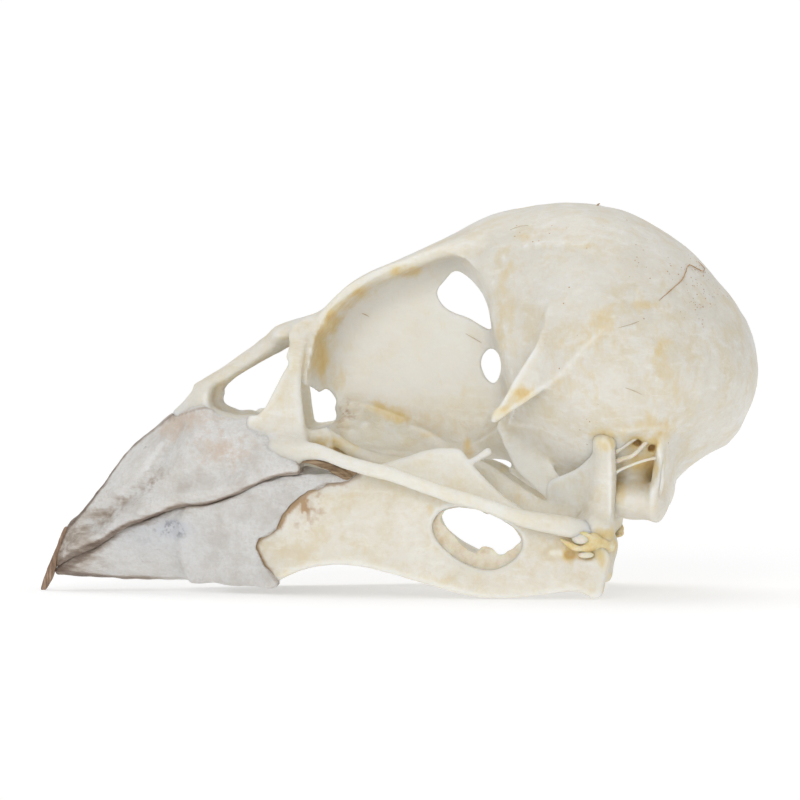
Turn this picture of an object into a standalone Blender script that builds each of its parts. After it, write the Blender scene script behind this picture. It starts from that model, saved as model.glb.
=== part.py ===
"""A greenfinch skull, life size, lying as it rests: on the horn splinter at the tip of the bill
and on the lower edges of the two rami of the lower jaw.

Every shape is worked out in millimetres in the plane of symmetry's own frame: X runs from the
bill tip to the back of the head, Y across it, Z up from the table. The left half is at -Y. The
last step of each node scales its mesh to metres and moves the origin to the middle of the box.
"""
import math

import bmesh
import bpy
import numpy as np
from mathutils import Matrix, Vector

# Driving dimensions, in millimetres
METRES = 0.001            # one millimetre
GAP = 0.3                 # air left between two neighbouring nodes
TABLE = 0.0               # level of the three small flats that it rests on
MIDDLE_X = -0.02          # middle of the whole skull's length
FINE = 0.2                # voxel of the thin pieces
BEYOND = 12.0             # half length of a cutter that goes right through

# Profiles along the plane of symmetry: (x, z)
CROWN = [(-4.2, 11.85), (-3.6, 12.1), (-3.0, 12.75), (-2.2, 13.5), (-1.3, 14.05), (0.0, 14.6),
         (2.3, 15.7), (3.8, 16.45), (5.4, 16.87), (7.4, 17.12), (8.9, 17.02), (9.9, 16.74),
         (11.5, 15.9), (13.0, 14.8), (14.0, 13.8), (15.0, 12.55), (15.6, 11.3), (15.8, 9.9)]
CRANIAL_BASE = [(3.3, 6.4), (4.2, 5.6), (6.0, 4.8), (8.0, 4.1), (9.6, 3.6), (11.0, 3.65),
                (11.8, 4.4), (12.6, 5.1), (13.6, 5.9), (14.6, 6.7), (15.4, 8.0), (15.8, 9.8)]
CULMEN = [(-15.0, 1.9), (-14.6, 2.75), (-14.0, 3.44), (-12.93, 4.8), (-12.05, 5.99),
          (-10.5, 7.35), (-9.5, 8.15), (-8.7, 8.95), (-8.2, 8.9), (-7.8, 8.2), (-7.2, 7.85),
          (-6.2, 7.75), (-5.5, 7.2), (-4.9, 6.5), (-4.3, 6.1)]
GAPE = [(-15.2, 0.95), (-14.3, 1.59), (-13.1, 2.2), (-12.05, 2.9), (-10.8, 3.35), (-9.67, 3.83),
        (-8.17, 4.0), (-6.98, 4.45), (-6.1, 4.9), (-5.0, 5.3), (-4.2, 5.4), (-1.0, 5.6)]
CHIN = [(-15.2, 0.72), (-13.5, 0.62), (-12.2, 0.57), (-9.5, 0.53), (-7.2, 0.44), (-5.3, 0.33)]
DORSAL_BAR = [(-9.9, 6.9), (-9.0, 8.15), (-7.5, 9.45), (-6.3, 10.3), (-5.3, 11.1), (-4.6, 11.4),
              (-3.6, 11.6)]

# Half widths across the skull: (x, half width)
BRAINCASE_HALF = [(3.4, 0.3), (4.0, 1.3), (4.5, 2.7), (5.0, 4.0), (6.0, 5.7), (7.0, 6.75),
                  (8.0, 7.4), (9.3, 7.75), (11.0, 7.6), (12.5, 6.9), (14.0, 5.3), (15.0, 3.6),
                  (15.6, 1.9), (15.82, 0.4)]
ROOF_HALF = [(-4.3, 2.5), (-3.0, 3.0), (-1.5, 2.75), (0.0, 2.5), (1.5, 2.7), (3.0, 3.35),
             (4.5, 4.5), (5.6, 5.2), (6.6, 5.4)]
ROOF_SAG = [(-4.3, 0.1), (-1.5, 0.3), (1.5, 0.5), (3.0, 1.0), (4.5, 2.2), (5.6, 3.1), (6.6, 3.6)]
BILL_HALF = [(-15.0, 0.25), (-14.3, 0.8), (-12.9, 1.6), (-11.5, 2.3), (-9.8, 3.0), (-8.0, 3.7),
             (-6.2, 4.2), (-4.3, 4.5)]
CHIN_HALF = [(-15.2, 0.2), (-14.5, 0.65), (-13.0, 1.3), (-11.0, 2.05), (-9.0, 2.75), (-7.4, 3.2)]
RAMUS_OUT = [(-9.6, 2.2), (-7.5, 2.95), (-5.0, 3.8), (-2.0, 4.7), (1.0, 5.4), (4.0, 5.85),
             (7.0, 6.1), (9.8, 6.2)]
RAMUS_LEAN = [(-9.6, -0.42), (-7.5, -0.26), (-5.0, -0.04), (-2.0, 0.16), (1.0, 0.24), (4.0, 0.22),
              (7.0, 0.12), (9.8, 0.08)]

# Where the frame is parted, as lines in the side view: (x, z)
CUT_BRAINCASE = [(3.0, 18.5), (3.35, 15.2), (3.5, 12.5), (3.7, 10.0), (3.3, 8.0), (2.9, 4.5)]
CUT_ROOF = [(-4.2, 11.0), (-2.6, 11.9), (0.0, 13.4), (3.35, 15.2)]
CUT_SEPTUM = [(-2.9, 11.7), (-2.2, 9.0), (-1.9, 5.0)]
CUT_HINGE = [(-3.7, 13.5), (-3.85, 11.2), (-4.25, 9.5), (-4.15, 8.0), (-4.0, 5.0)]
CUT_SHEATH = [(-10.6, 9.0), (-9.9, 7.9), (-8.9, 7.6), (-8.4, 7.85), (-7.2, 7.45), (-6.3, 7.4),
              (-5.6, 7.1), (-5.2, 6.6), (-4.9, 5.9), (-3.6, 5.8)]
CUT_LOWER_SHEATH = [(-1.0, 6.2), (-1.6, 5.2), (-2.1, 4.9), (-3.3, 4.6), (-4.4, 3.9), (-5.1, 3.1),
                    (-5.3, 2.7), (-6.2, 2.2), (-6.2, 1.8), (-5.8, 1.1), (-5.4, -0.5)]

BONE = (0.86, 0.82, 0.70, 1.0)
STAINED_BONE = (0.80, 0.70, 0.50, 1.0)
HORN = (0.72, 0.68, 0.64, 1.0)
SPLINTER_HORN = (0.46, 0.32, 0.22, 1.0)


# Curves and outlines

def profile(points):
    """A smooth height or width along x, through the given points."""
    xs = np.array([p[0] for p in points])
    zs = np.array([p[1] for p in points])
    slopes = np.gradient(zs, xs)

    def at(x):
        k = int(np.clip(np.searchsorted(xs, x) - 1, 0, len(xs) - 2))
        span = xs[k + 1] - xs[k]
        t = min(max((x - xs[k]) / span, 0.0), 1.0)
        rise = zs[k + 1] - zs[k]
        ease = t * t * (3 - 2 * t)
        bend = t * (1 - t) * ((1 - t) * slopes[k] - t * slopes[k + 1]) * span
        return float(zs[k] + rise * ease + bend)
    return at


def smooth_path(points, steps=6, closed=False):
    """Points along a smooth curve through the given ones, in two or three dimensions."""
    pts = [np.array(p, float) for p in points]
    count = len(pts)
    spans = count if closed else count - 1
    out = []
    for k in range(spans):
        if closed:
            a, b, c, d = (pts[(k + i - 1) % count] for i in range(4))
        else:
            a, b, c, d = (pts[min(max(k + i - 1, 0), count - 1)] for i in range(4))
        for s in range(steps):
            t = s / steps
            out.append(0.5 * (2 * b + (c - a) * t + (2 * a - 5 * b + 4 * c - d) * t ** 2
                              + (3 * b - a - 3 * c + d) * t ** 3))
    if not closed:
        out.append(pts[-1])
    return out


def oval(centre, half_x, half_z, turn=0.0, count=20):
    """An ellipse in the side view, turned by an angle in degrees."""
    a = math.radians(turn)
    ring = []
    for k in range(count):
        t = 2 * math.pi * k / count
        u, v = half_x * math.cos(t), half_z * math.sin(t)
        ring.append((centre[0] + u * math.cos(a) - v * math.sin(a),
                     centre[1] + u * math.sin(a) + v * math.cos(a)))
    return ring


# Closed shapes, each one a bmesh

def skin_rings(rings):
    """A closed body through rings of points, its two ends closed by fans."""
    bm = bmesh.new()
    loops = [[bm.verts.new(p) for p in ring] for ring in rings]
    n = len(rings[0])
    for low, high in zip(loops, loops[1:]):
        for k in range(n):
            bm.faces.new((low[k], low[(k + 1) % n], high[(k + 1) % n], high[k]))
    for loop in (loops[0], loops[-1]):
        middle = bm.verts.new(sum((v.co for v in loop), Vector()) / n)
        for k in range(n):
            bm.faces.new((loop[k], loop[(k + 1) % n], middle))
    bmesh.ops.recalc_face_normals(bm, faces=bm.faces)
    return bm


def section(x, top, bottom, half, waist=0.5, upper=2.0, lower=2.0, count=28):
    """One cross section at x: a superellipse that is widest at the waist."""
    level = bottom + waist * (top - bottom)
    ring = []
    for k in range(count):
        t = 2 * math.pi * k / count
        c, s = math.cos(t), math.sin(t)
        power = 2 / (upper if s >= 0 else lower)
        rise = (top - level) if s >= 0 else (level - bottom)
        ring.append((x, half * math.copysign(abs(c) ** power, c),
                     level + rise * math.copysign(abs(s) ** power, s)))
    return ring


def tube(points, widths, heights, steps=5, count=12):
    """A rod along a smooth path, its section an ellipse lying level, with its ends rounded."""
    path = [Vector(p) for p in smooth_path(points, steps)]
    last = len(path) - 1
    given = np.linspace(0, 1, len(widths))
    rings = []
    for k, p in enumerate(path):
        along = (path[min(k + 1, last)] - path[max(k - 1, 0)]).normalized()
        side = Vector((0, 0, 1)).cross(along)
        if side.length < 0.2:
            side = Vector((0, 1, 0)).cross(along)
        side.normalize()
        up = along.cross(side)
        w = float(np.interp(k / last, given, widths)) / 2
        h = float(np.interp(k / last, given, heights)) / 2
        rings.append([p + side * w * math.cos(t) + up * h * math.sin(t)
                      for t in np.linspace(0, 2 * math.pi, count, endpoint=False)])
    ends = []
    for ring, step in ((rings[0], path[0] - path[1]), (rings[-1], path[-1] - path[-2])):
        middle = sum(ring, Vector()) / count
        reach = (ring[0] - middle).length * 0.6
        ends.append([middle + (p - middle) * 0.5 + step.normalized() * reach for p in ring])
    return skin_rings([ends[0]] + rings + [ends[1]])


def ball(centre, radii, turn_y=0.0, turn_z=0.0):
    """An ellipsoid, turned about Y and then about Z by angles in degrees."""
    bm = bmesh.new()
    place = (Matrix.Translation(centre) @ Matrix.Rotation(math.radians(turn_z), 4, "Z")
             @ Matrix.Rotation(math.radians(turn_y), 4, "Y") @ Matrix.Diagonal((*radii, 1.0)))
    bmesh.ops.create_icosphere(bm, subdivisions=3, radius=1.0, matrix=place)
    return bm


def slab(outline, near, far):
    """A side view outline, given as (x, z), extruded across the skull from y near to y far."""
    bm = bmesh.new()
    face = bm.faces.new([bm.verts.new((p[0], near, p[1])) for p in outline])
    grown = bmesh.ops.extrude_face_region(bm, geom=[face])["geom"]
    moved = [v for v in grown if isinstance(v, bmesh.types.BMVert)]
    bmesh.ops.translate(bm, verts=moved, vec=(0, far - near, 0))
    bmesh.ops.recalc_face_normals(bm, faces=bm.faces)
    return bm


def knife(line, width=GAP, half=BEYOND):
    """A thin plate across the skull along a side view line, to part two nodes."""
    path = [Vector((p[0], p[1])) for p in smooth_path(line, 3)]
    upper, lower = [], []
    for k, p in enumerate(path):
        along = (path[min(k + 1, len(path) - 1)] - path[max(k - 1, 0)]).normalized()
        off = Vector((-along.y, along.x)) * width / 2
        upper.append(p + off)
        lower.append(p - off)
    return slab(upper + lower[::-1], -half, half)


def mirrored(bm):
    """The same shape on the other side of the skull."""
    other = bm.copy()
    bmesh.ops.transform(other, matrix=Matrix.Scale(-1, 4, (0, 1, 0)), verts=other.verts)
    bmesh.ops.reverse_faces(other, faces=other.faces)
    return other


def both(*shapes):
    """Shapes of the left side with their like on the right."""
    return [*shapes, *(mirrored(s) for s in shapes)]


# Working objects

def to_object(name, shapes):
    """One object that holds all the given shapes."""
    mesh = bpy.data.meshes.new(name)
    whole = bmesh.new()
    for shape in shapes:
        shape.to_mesh(mesh)
        whole.from_mesh(mesh)
        shape.free()
    whole.to_mesh(mesh)
    whole.free()
    obj = bpy.data.objects.new(name, mesh)
    bpy.context.scene.collection.objects.link(obj)
    return obj


def apply_modifiers(obj):
    """The object's mesh becomes what its modifiers make of it."""
    bpy.context.view_layer.update()
    evaluated = obj.evaluated_get(bpy.context.evaluated_depsgraph_get())
    mesh = bpy.data.meshes.new_from_object(evaluated)
    obj.modifiers.clear()
    old = obj.data
    obj.data = mesh
    bpy.data.meshes.remove(old)


def melt(obj, voxel, rounds):
    """Remesh fuses what overlaps, and Smooth rounds the joins as bone does."""
    remesh = obj.modifiers.new("fuse", "REMESH")
    remesh.mode = "VOXEL"
    remesh.voxel_size = voxel
    if rounds:
        smooth = obj.modifiers.new("round", "SMOOTH")
        smooth.factor = 0.5
        smooth.iterations = rounds
    apply_modifiers(obj)


def cut(obj, shapes, solver="EXACT"):
    """Takes the given closed shapes away from the object."""
    cutter = to_object("cutter", shapes)
    cutter.hide_render = True
    cutter.display_type = "WIRE"
    boolean = obj.modifiers.new("cut", "BOOLEAN")
    boolean.operation = "DIFFERENCE"
    boolean.solver = solver
    boolean.use_self = solver == "EXACT"
    boolean.object = cutter
    apply_modifiers(obj)
    bpy.data.objects.remove(cutter)


def thin(obj, triangles):
    """Decimate down to a number of triangles."""
    now = sum(len(p.vertices) - 2 for p in obj.data.polygons)
    collapse = obj.modifiers.new("thin", "DECIMATE")
    collapse.ratio = min(1.0, triangles / now)
    collapse.use_collapse_triangulate = True
    apply_modifiers(obj)


def islands(obj):
    """The separate closed surfaces of a mesh, the largest first, as lists of face numbers."""
    mesh = obj.data
    owner = list(range(len(mesh.vertices)))

    def root(v):
        while owner[v] != v:
            owner[v] = owner[owner[v]]
            v = owner[v]
        return v
    for a, b in (e.vertices for e in mesh.edges):
        owner[root(a)] = root(b)
    groups = {}
    for face in mesh.polygons:
        groups.setdefault(root(face.vertices[0]), []).append(face.index)
    return sorted(groups.values(), key=len, reverse=True)


def island_object(name, obj, faces):
    """A new object with only the given faces of another."""
    bm = bmesh.new()
    bm.from_mesh(obj.data)
    bm.faces.ensure_lookup_table()
    keep = set(faces)
    drop = [f for f in bm.faces if f.index not in keep]
    bmesh.ops.delete(bm, geom=drop, context="FACES")
    loose = [v for v in bm.verts if not v.link_faces]
    bmesh.ops.delete(bm, geom=loose, context="VERTS")
    return to_object(name, [bm])


def named_islands(obj, seeds):
    """Each named seed point takes the closed surface that reaches nearest to it."""
    groups = [g for g in islands(obj) if len(g) > 30]
    found = {}
    for name, point in seeds.items():
        def reach(group):
            return min((obj.data.polygons[f].center - Vector(point)).length for f in group)
        found[name] = island_object(name, obj, min(groups, key=reach))
    bpy.data.objects.remove(obj)
    return found


def bend(obj, place):
    """Every point moves across the skull to place(x, y, z)."""
    for v in obj.data.vertices:
        v.co.y = place(v.co.x, v.co.y, v.co.z)


def taken(obj):
    """The object's mesh as a bmesh; the object itself is removed."""
    bm = bmesh.new()
    bm.from_mesh(obj.data)
    bpy.data.objects.remove(obj)
    return bm


def swollen(obj, by=GAP):
    """The object's shape with its skin pushed out, to cut a neighbour clear of it."""
    bm = bmesh.new()
    bm.from_mesh(obj.data)
    bm.normal_update()
    for v, move in [(v, v.normal.copy() * by) for v in bm.verts]:
        v.co += move
    fat = to_object("fat", [bm])
    melt(fat, FINE, 0)
    return taken(fat)


def largest_only(obj, name):
    """The object keeps only its largest closed surface."""
    alone = island_object("alone", obj, islands(obj)[0])
    bpy.data.objects.remove(obj)
    alone.name = name
    return alone


def right_copy(obj, name):
    """The same piece on the right side of the skull."""
    bm = bmesh.new()
    bm.from_mesh(obj.data)
    return to_object(name, [mirrored(bm)])


# The upper skull

def braincase_shapes():
    """The dome of the braincase with its side processes."""
    top, low = profile(CROWN), profile(CRANIAL_BASE)
    half = profile(BRAINCASE_HALF)
    stations = [3.4, 3.7, 4.0, 4.5, *np.arange(5.0, 15.0, 0.5), 15.0, 15.3, 15.55, 15.7, 15.8]
    dome = skin_rings([section(x, top(x), low(x), max(half(x), 0.1), waist=0.47, upper=2.1,
                               lower=1.75) for x in stations])
    process = smooth_path([(7.0, 12.9), (6.45, 11.6), (5.6, 10.1), (4.7, 8.5), (4.25, 7.75),
                           (4.6, 7.65), (5.9, 8.55), (7.4, 9.7), (8.6, 11.1), (9.9, 12.3),
                           (11.2, 12.9), (9.0, 13.4)], 3, closed=True)
    blade = to_object("blade", [slab(process, -0.3, 0.3)])
    melt(blade, FINE, 0)

    def beside_dome(x, y, z):
        level = low(x) + 0.47 * (top(x) - low(x))
        rise = min(abs(z - level) / (top(x) - level), 1.0)
        wall = half(x) * (1 - rise ** 2.1) ** (1 / 2.1)
        return y - max(wall - 0.12, 6.2)
    bend(blade, beside_dome)
    wing = ball((11.4, -5.0, 5.6), (0.5, 1.5, 2.15), turn_y=10, turn_z=-20)
    condyle = ball((11.3, 0, 3.7), (0.5, 0.7, 0.4))
    return [dome, condyle, *both(taken(blade), wing)]


def arch(x, top, sag, half, thick, count=14):
    """One cross section of an arched plate: level in the middle, lower at its two rims."""
    across = np.linspace(-half, half, count)
    upper = [(x, y, top - sag * (y / half) ** 2) for y in across]
    lower = [(x, y * 0.97, top - sag * (y / half) ** 2 - thick * (1 - 0.45 * (y / half) ** 2))
             for y in across[::-1]]
    return [Vector(p) for p in upper + lower]


def roof_shapes():
    """The frontal bones between the orbits, an arched plate that follows the crown."""
    top, half, sag = profile(CROWN), profile(ROOF_HALF), profile(ROOF_SAG)
    return [skin_rings([arch(x, top(x), sag(x), half(x), 0.95) for x in np.arange(-4.3, 6.7, 0.5)])]


def septum_shapes():
    """The plate between the orbits, the rod along its lower edge and the wall at its front."""
    plate = slab([(-3.9, 11.6), (-3.4, 9.3), (-2.6, 6.9), (0.0, 6.6), (3.6, 6.4), (4.8, 8.0),
                  (5.0, 15.8), (2.0, 15.0), (-1.5, 13.4)], -0.33, 0.33)
    rostrum = tube([(-2.6, 0, 6.9), (0, 0, 6.6), (2.5, 0, 6.4), (5.0, 0, 5.8)],
                   [0.8, 0.9, 1.1, 2.2], [0.8, 0.8, 0.9, 1.2])
    wall = ball((-3.15, 0, 9.7), (0.5, 3.1, 2.9), turn_y=-13)
    rim = tube([(-3.4, -2.6, 12.0), (-3.6, -3.3, 10.9), (-3.4, -3.8, 9.7), (-2.6, -3.8, 8.6),
                (-2.4, -3.6, 7.4), (-3.0, -3.5, 6.7)], [0.9, 0.9, 0.8, 0.7, 0.7, 0.8],
               [1.0, 0.9, 0.8, 0.7, 0.7, 0.8])
    return [plate, rostrum, wall, *both(rim)]


def bill_shapes():
    """The upper bill: its block, the bar over the nostrils and the bars behind them."""
    top, low, half = profile(CULMEN), profile(GAPE), profile(BILL_HALF)
    block = skin_rings([section(x, top(x), low(x) + 0.1, half(x), waist=0.25, upper=1.7, lower=3.0)
                        for x in [-15.0, -14.8, *np.arange(-14.4, -4.3, 0.45), -4.2]])
    bar_line = [(x, 0, z) for x, z in DORSAL_BAR]
    bar = tube(bar_line, [2.2, 2.2, 2.0, 2.1, 2.5, 3.2, 4.2], [1.6, 1.3, 1.0, 0.9, 0.9, 0.8, 0.8])
    outline = smooth_path([(-3.7, 12.1), (-4.6, 11.5), (-5.0, 10.2), (-5.6, 9.2), (-6.4, 8.0),
                           (-6.2, 7.0), (-5.0, 6.2), (-3.9, 6.3), (-4.1, 8.0), (-4.25, 9.5),
                           (-4.0, 11.0)], 3, closed=True)
    side = to_object("nasal", [slab(outline, -0.35, 0.35)])
    melt(side, FINE, 0)
    bend(side, lambda x, y, z: y - 4.15 + 0.062 * max(z - 7.0, 0) ** 2 * 1.25)
    return [block, bar, *both(taken(side))]


def skull_cutters():
    """What is hollow in the upper skull: fenestrae, ear cavities, recesses and foramen."""
    fenestra = slab(smooth_path([(1.7, 13.1), (2.4, 14.1), (3.45, 13.4), (3.95, 12.4), (4.0, 11.5),
                                 (3.1, 12.0), (2.1, 12.5)], 4, closed=True), -BEYOND, BEYOND)
    slit = slab(oval((4.05, 10.0), 0.5, 0.8), -BEYOND, BEYOND)
    ear = ball((10.45, -6.6, 5.4), (0.95, 2.6, 1.7), turn_y=-12)
    under = slab([(3.6, 7.3), (5.7, 8.5), (7.7, 6.95), (8.8, 6.35), (9.4, 7.05), (9.9, 6.9),
                  (10.2, 5.0), (9.8, 2.5), (3.0, 2.5)], -BEYOND, -4.3)
    foramen = ball((13.5, 0, 5.2), (1.0, 1.3, 1.3), turn_y=45)
    return [fenestra, slit, foramen, *both(ear, under)]


def upper_skull():
    """Melts the upper skull together, then parts it into its named nodes."""
    whole = to_object("skull", [*braincase_shapes(), *roof_shapes(), *septum_shapes(),
                                *bill_shapes()])
    melt(whole, FINE, 2)
    cut(whole, skull_cutters())
    melt(whole, FINE, 2)
    thin(whole, 6000)
    cut(whole, [knife(line) for line in (CUT_BRAINCASE, CUT_ROOF, CUT_SEPTUM, CUT_HINGE,
                                         CUT_SHEATH)])
    return named_islands(whole, {
        "braincase": (10.0, 0.0, 17.1),
        "frontal_roof": (0.0, 0.0, 14.6),
        "interorbital_septum": (0.5, 0.0, 10.0),
        "ectethmoid_wall": (-3.2, 2.5, 9.5),
        "nasal_bones": (-7.0, 0.0, 9.8),
        "upper_horn_sheath": (-11.0, 0.0, 7.0),
    })


# The lower jaw

def lower_jaw():
    """The two rami and the chin as one body, parted at the rear edge of the horn sheath."""
    out = profile(RAMUS_OUT)
    outline = smooth_path([(-9.3, 3.6), (-8.0, 4.0), (-5.0, 5.2), (-2.2, 5.3), (-0.6, 5.75),
                           (0.7, 6.2), (2.0, 6.55), (2.95, 6.5), (3.55, 5.6), (4.25, 4.65),
                           (5.0, 3.95), (5.9, 3.6), (7.4, 3.2), (8.2, 2.75), (9.3, 2.5), (9.6, 1.9),
                           (9.3, 1.2), (9.25, 0.3), (8.8, -0.05), (8.2, 0.05), (7.6, 0.25),
                           (6.6, 0.1), (5.2, -0.05), (4.1, 0.0), (3.0, 0.2), (1.2, 0.65),
                           (-0.7, 1.15), (-2.2, 1.35), (-3.7, 1.2), (-4.9, 0.7), (-5.6, 0.35),
                           (-8.0, 0.5), (-9.3, 0.8)], 2, closed=True)
    hole = smooth_path([(1.8, 3.3), (2.1, 2.5), (2.8, 1.9), (3.9, 1.55), (4.8, 1.6), (5.5, 2.2),
                        (5.4, 2.9), (4.4, 3.5), (3.2, 3.85), (2.2, 3.8)], 3, closed=True)
    lean = profile(RAMUS_LEAN)
    ramus = to_object("ramus", [slab(outline, -0.4, 0.4)])
    cut(ramus, [slab(hole, -BEYOND, BEYOND)])
    melt(ramus, FINE, 0)
    bend(ramus, lambda x, y, z: y * (1.25 - 0.12 * min(z, 4)) - out(x) + lean(x) * (z - 2.5))
    plate = taken(ramus)
    joint = ball((8.5, -5.9, 1.65), (1.0, 0.95, 0.8))
    heel = tube([(8.2, -5.6, 1.2), (8.75, -5.7, 0.6), (8.85, -5.7, 0.15)], [1.2, 1.0, 0.7],
                [1.2, 1.0, 0.8])
    low, half, mouth = profile(CHIN), profile(CHIN_HALF), profile(GAPE)
    chin = skin_rings([section(x, mouth(x) - 0.1, low(x), half(x), waist=0.7, upper=3.0, lower=1.7)
                       for x in [-15.15, -14.9, *np.arange(-14.5, -7.6, 0.5)]])
    jaw = to_object("jaw", [chin, *both(plate, joint, heel)])
    melt(jaw, FINE, 2)
    cut(jaw, [knife(GAPE)])
    thin(jaw, 2500)
    cut(jaw, [knife(CUT_LOWER_SHEATH), under_table()])
    return named_islands(jaw, {
        "lower_horn_sheath": (-11.0, 0.0, 0.6),
        "mandible_ramus_left": (6.5, -6.0, 1.0),
        "mandible_ramus_right": (6.5, 6.0, 1.0),
    })


# The struts of the cheek, palate and jaw joint

def strut(name, shapes, triangles, neighbours):
    """A thin piece of its own, cut back from its neighbours by the gap."""
    obj = to_object(name, shapes)
    melt(obj, FINE, 1)
    for swollen_shape in neighbours:
        cut(obj, [swollen_shape.copy()], solver="MANIFOLD")
    melt(obj, FINE, 0)
    obj = largest_only(obj, name)
    thin(obj, triangles)
    return obj


def jugal_bar(neighbours):
    line = [(-3.9, -4.4, 6.25), (-2.0, -5.2, 5.6), (-0.3, -5.8, 5.2), (1.5, -6.2, 4.7),
            (4.0, -6.65, 4.0), (6.2, -6.95, 3.4), (7.5, -6.9, 3.2)]
    return strut("jugal_bar_left", [tube(line, [0.7, 0.6, 0.6, 0.6, 0.6, 0.7, 0.8],
                                         [0.95, 0.95, 0.85, 0.85, 0.85, 0.95, 0.95])], 170,
                 neighbours)


def quadrate(neighbours):
    stem = tube([(9.4, -5.2, 7.0), (9.3, -5.3, 5.6), (9.15, -5.6, 4.4), (8.9, -5.9, 3.2)],
                [1.1, 0.9, 1.1, 1.5], [1.0, 0.8, 1.0, 1.4])
    foot = ball((8.6, -5.9, 3.15), (1.0, 1.0, 0.6))
    outline = smooth_path([(9.3, 6.4), (9.5, 5.0), (9.3, 3.4), (8.2, 2.9), (7.6, 3.4), (6.9, 3.9),
                           (6.7, 4.9), (7.2, 5.2), (8.2, 5.45), (8.9, 6.0)], 3, closed=True)
    sheet = to_object("sheet", [slab(outline, -0.3, 0.3)])
    melt(sheet, FINE, 0)
    bend(sheet, lambda x, y, z: y - 4.4 - 0.5 * (x - 7.0))
    return strut("quadrate_left", [stem, foot, taken(sheet)], 460, neighbours)


def pterygoid(neighbours):
    rod = tube([(7.6, -4.9, 3.8), (5.6, -3.3, 4.4), (3.4, -1.5, 5.3)], [0.8, 0.55, 0.7],
               [0.8, 0.55, 0.8])
    return strut("pterygoid_left", [rod], 110, neighbours)


def palatine(neighbours):
    shelf = tube([(-4.0, -2.3, 5.9), (-1.5, -2.4, 5.7), (0.8, -2.2, 5.5), (3.0, -1.2, 5.6)],
                 [0.9, 0.8, 1.5, 0.9], [0.55, 0.55, 0.6, 0.8])
    return strut("palatine_left", [shelf], 180, neighbours)


def splinter(neighbours):
    """The split sliver of horn that hangs off the tip of the bill down to the table."""
    sliver = tube([(-14.75, 0, 2.5), (-15.15, 0, 1.5), (-15.5, 0, 0.5), (-15.65, 0, -0.25)],
                  [0.8, 0.9, 0.7, 0.6], [0.55, 0.5, 0.5, 0.5])
    obj = strut("bill_tip_splinter", [sliver], 80, neighbours)
    cut(obj, [under_table()])
    return obj


def under_table():
    """All that lies below the table's level."""
    return slab([(-20, -3), (20, -3), (20, TABLE), (-20, TABLE)], -BEYOND, BEYOND)


# Materials and the finished nodes

def finish_material(name, colour, roughness):
    material = bpy.data.materials.new(name)
    material.use_nodes = True
    shader = material.node_tree.nodes["Principled BSDF"]
    shader.inputs["Base Color"].default_value = colour
    shader.inputs["Roughness"].default_value = roughness
    shader.inputs["Metallic"].default_value = 0.0
    material.diffuse_color = colour
    return material


def finish(obj, colour, roughness=0.55):
    """Scales a node to metres, with its own material and smooth shading."""
    place = Matrix.Scale(METRES, 4) @ Matrix.Translation((-MIDDLE_X, 0, 0))
    obj.data.transform(place)
    obj.data.materials.clear()
    obj.data.materials.append(finish_material(obj.name + "_finish", colour, roughness))
    obj.data.shade_smooth()
    obj.data.set_sharp_from_angle(angle=math.radians(40))


def main():
    for old in list(bpy.data.objects):
        bpy.data.objects.remove(old)
    nodes = upper_skull()
    nodes.update(lower_jaw())
    fat = {name: swollen(obj) for name, obj in nodes.items() if not name.endswith("_right")}
    skull = [fat[name] for name in ("braincase", "interorbital_septum", "ectethmoid_wall",
                                    "nasal_bones", "upper_horn_sheath")]
    jaw = [fat["mandible_ramus_left"], fat["lower_horn_sheath"]]
    nodes["bill_tip_splinter"] = splinter([fat["upper_horn_sheath"], fat["lower_horn_sheath"]])
    nodes["quadrate_left"] = quadrate([fat["braincase"], fat["mandible_ramus_left"]])
    quadrate_room = [swollen(nodes["quadrate_left"])]
    nodes["jugal_bar_left"] = jugal_bar(skull + jaw + quadrate_room)
    nodes["palatine_left"] = palatine(skull + jaw)
    palatine_room = [swollen(nodes["palatine_left"])]
    nodes["pterygoid_left"] = pterygoid(skull + jaw + quadrate_room + palatine_room)
    for name in ("quadrate", "jugal_bar", "palatine", "pterygoid"):
        nodes[name + "_right"] = right_copy(nodes[name + "_left"], name + "_right")
    for name, obj in nodes.items():
        obj.name = name
        if "sheath" in name:
            finish(obj, HORN, 0.4)
        elif "splinter" in name:
            finish(obj, SPLINTER_HORN, 0.5)
        elif name.startswith(("palatine", "pterygoid", "interorbital", "ectethmoid")):
            finish(obj, STAINED_BONE)
        else:
            finish(obj, BONE)


main()
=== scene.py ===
# %% [markdown]
# # A greenfinch skull, life size
#
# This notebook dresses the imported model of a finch's skull: ivory bone so thin that light goes
# into it, a chalky horn sheath that flakes off the bill, amber stains of dried tissue.
#
# Bone is grown, not assembled: one bar swells into a plate and the plate into a dome, with no
# edge between them. Boxes and lofts that are joined by Booleans leave seams there. So each bone
# is described here as a *distance field*: numbers on a fine lattice that say how far each point
# is from the skin, below zero inside. Two fields are joined with a soft minimum, which leaves the
# fillet that bone has, and the lattice is then turned into a mesh.

# %% The frame
import math

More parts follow.
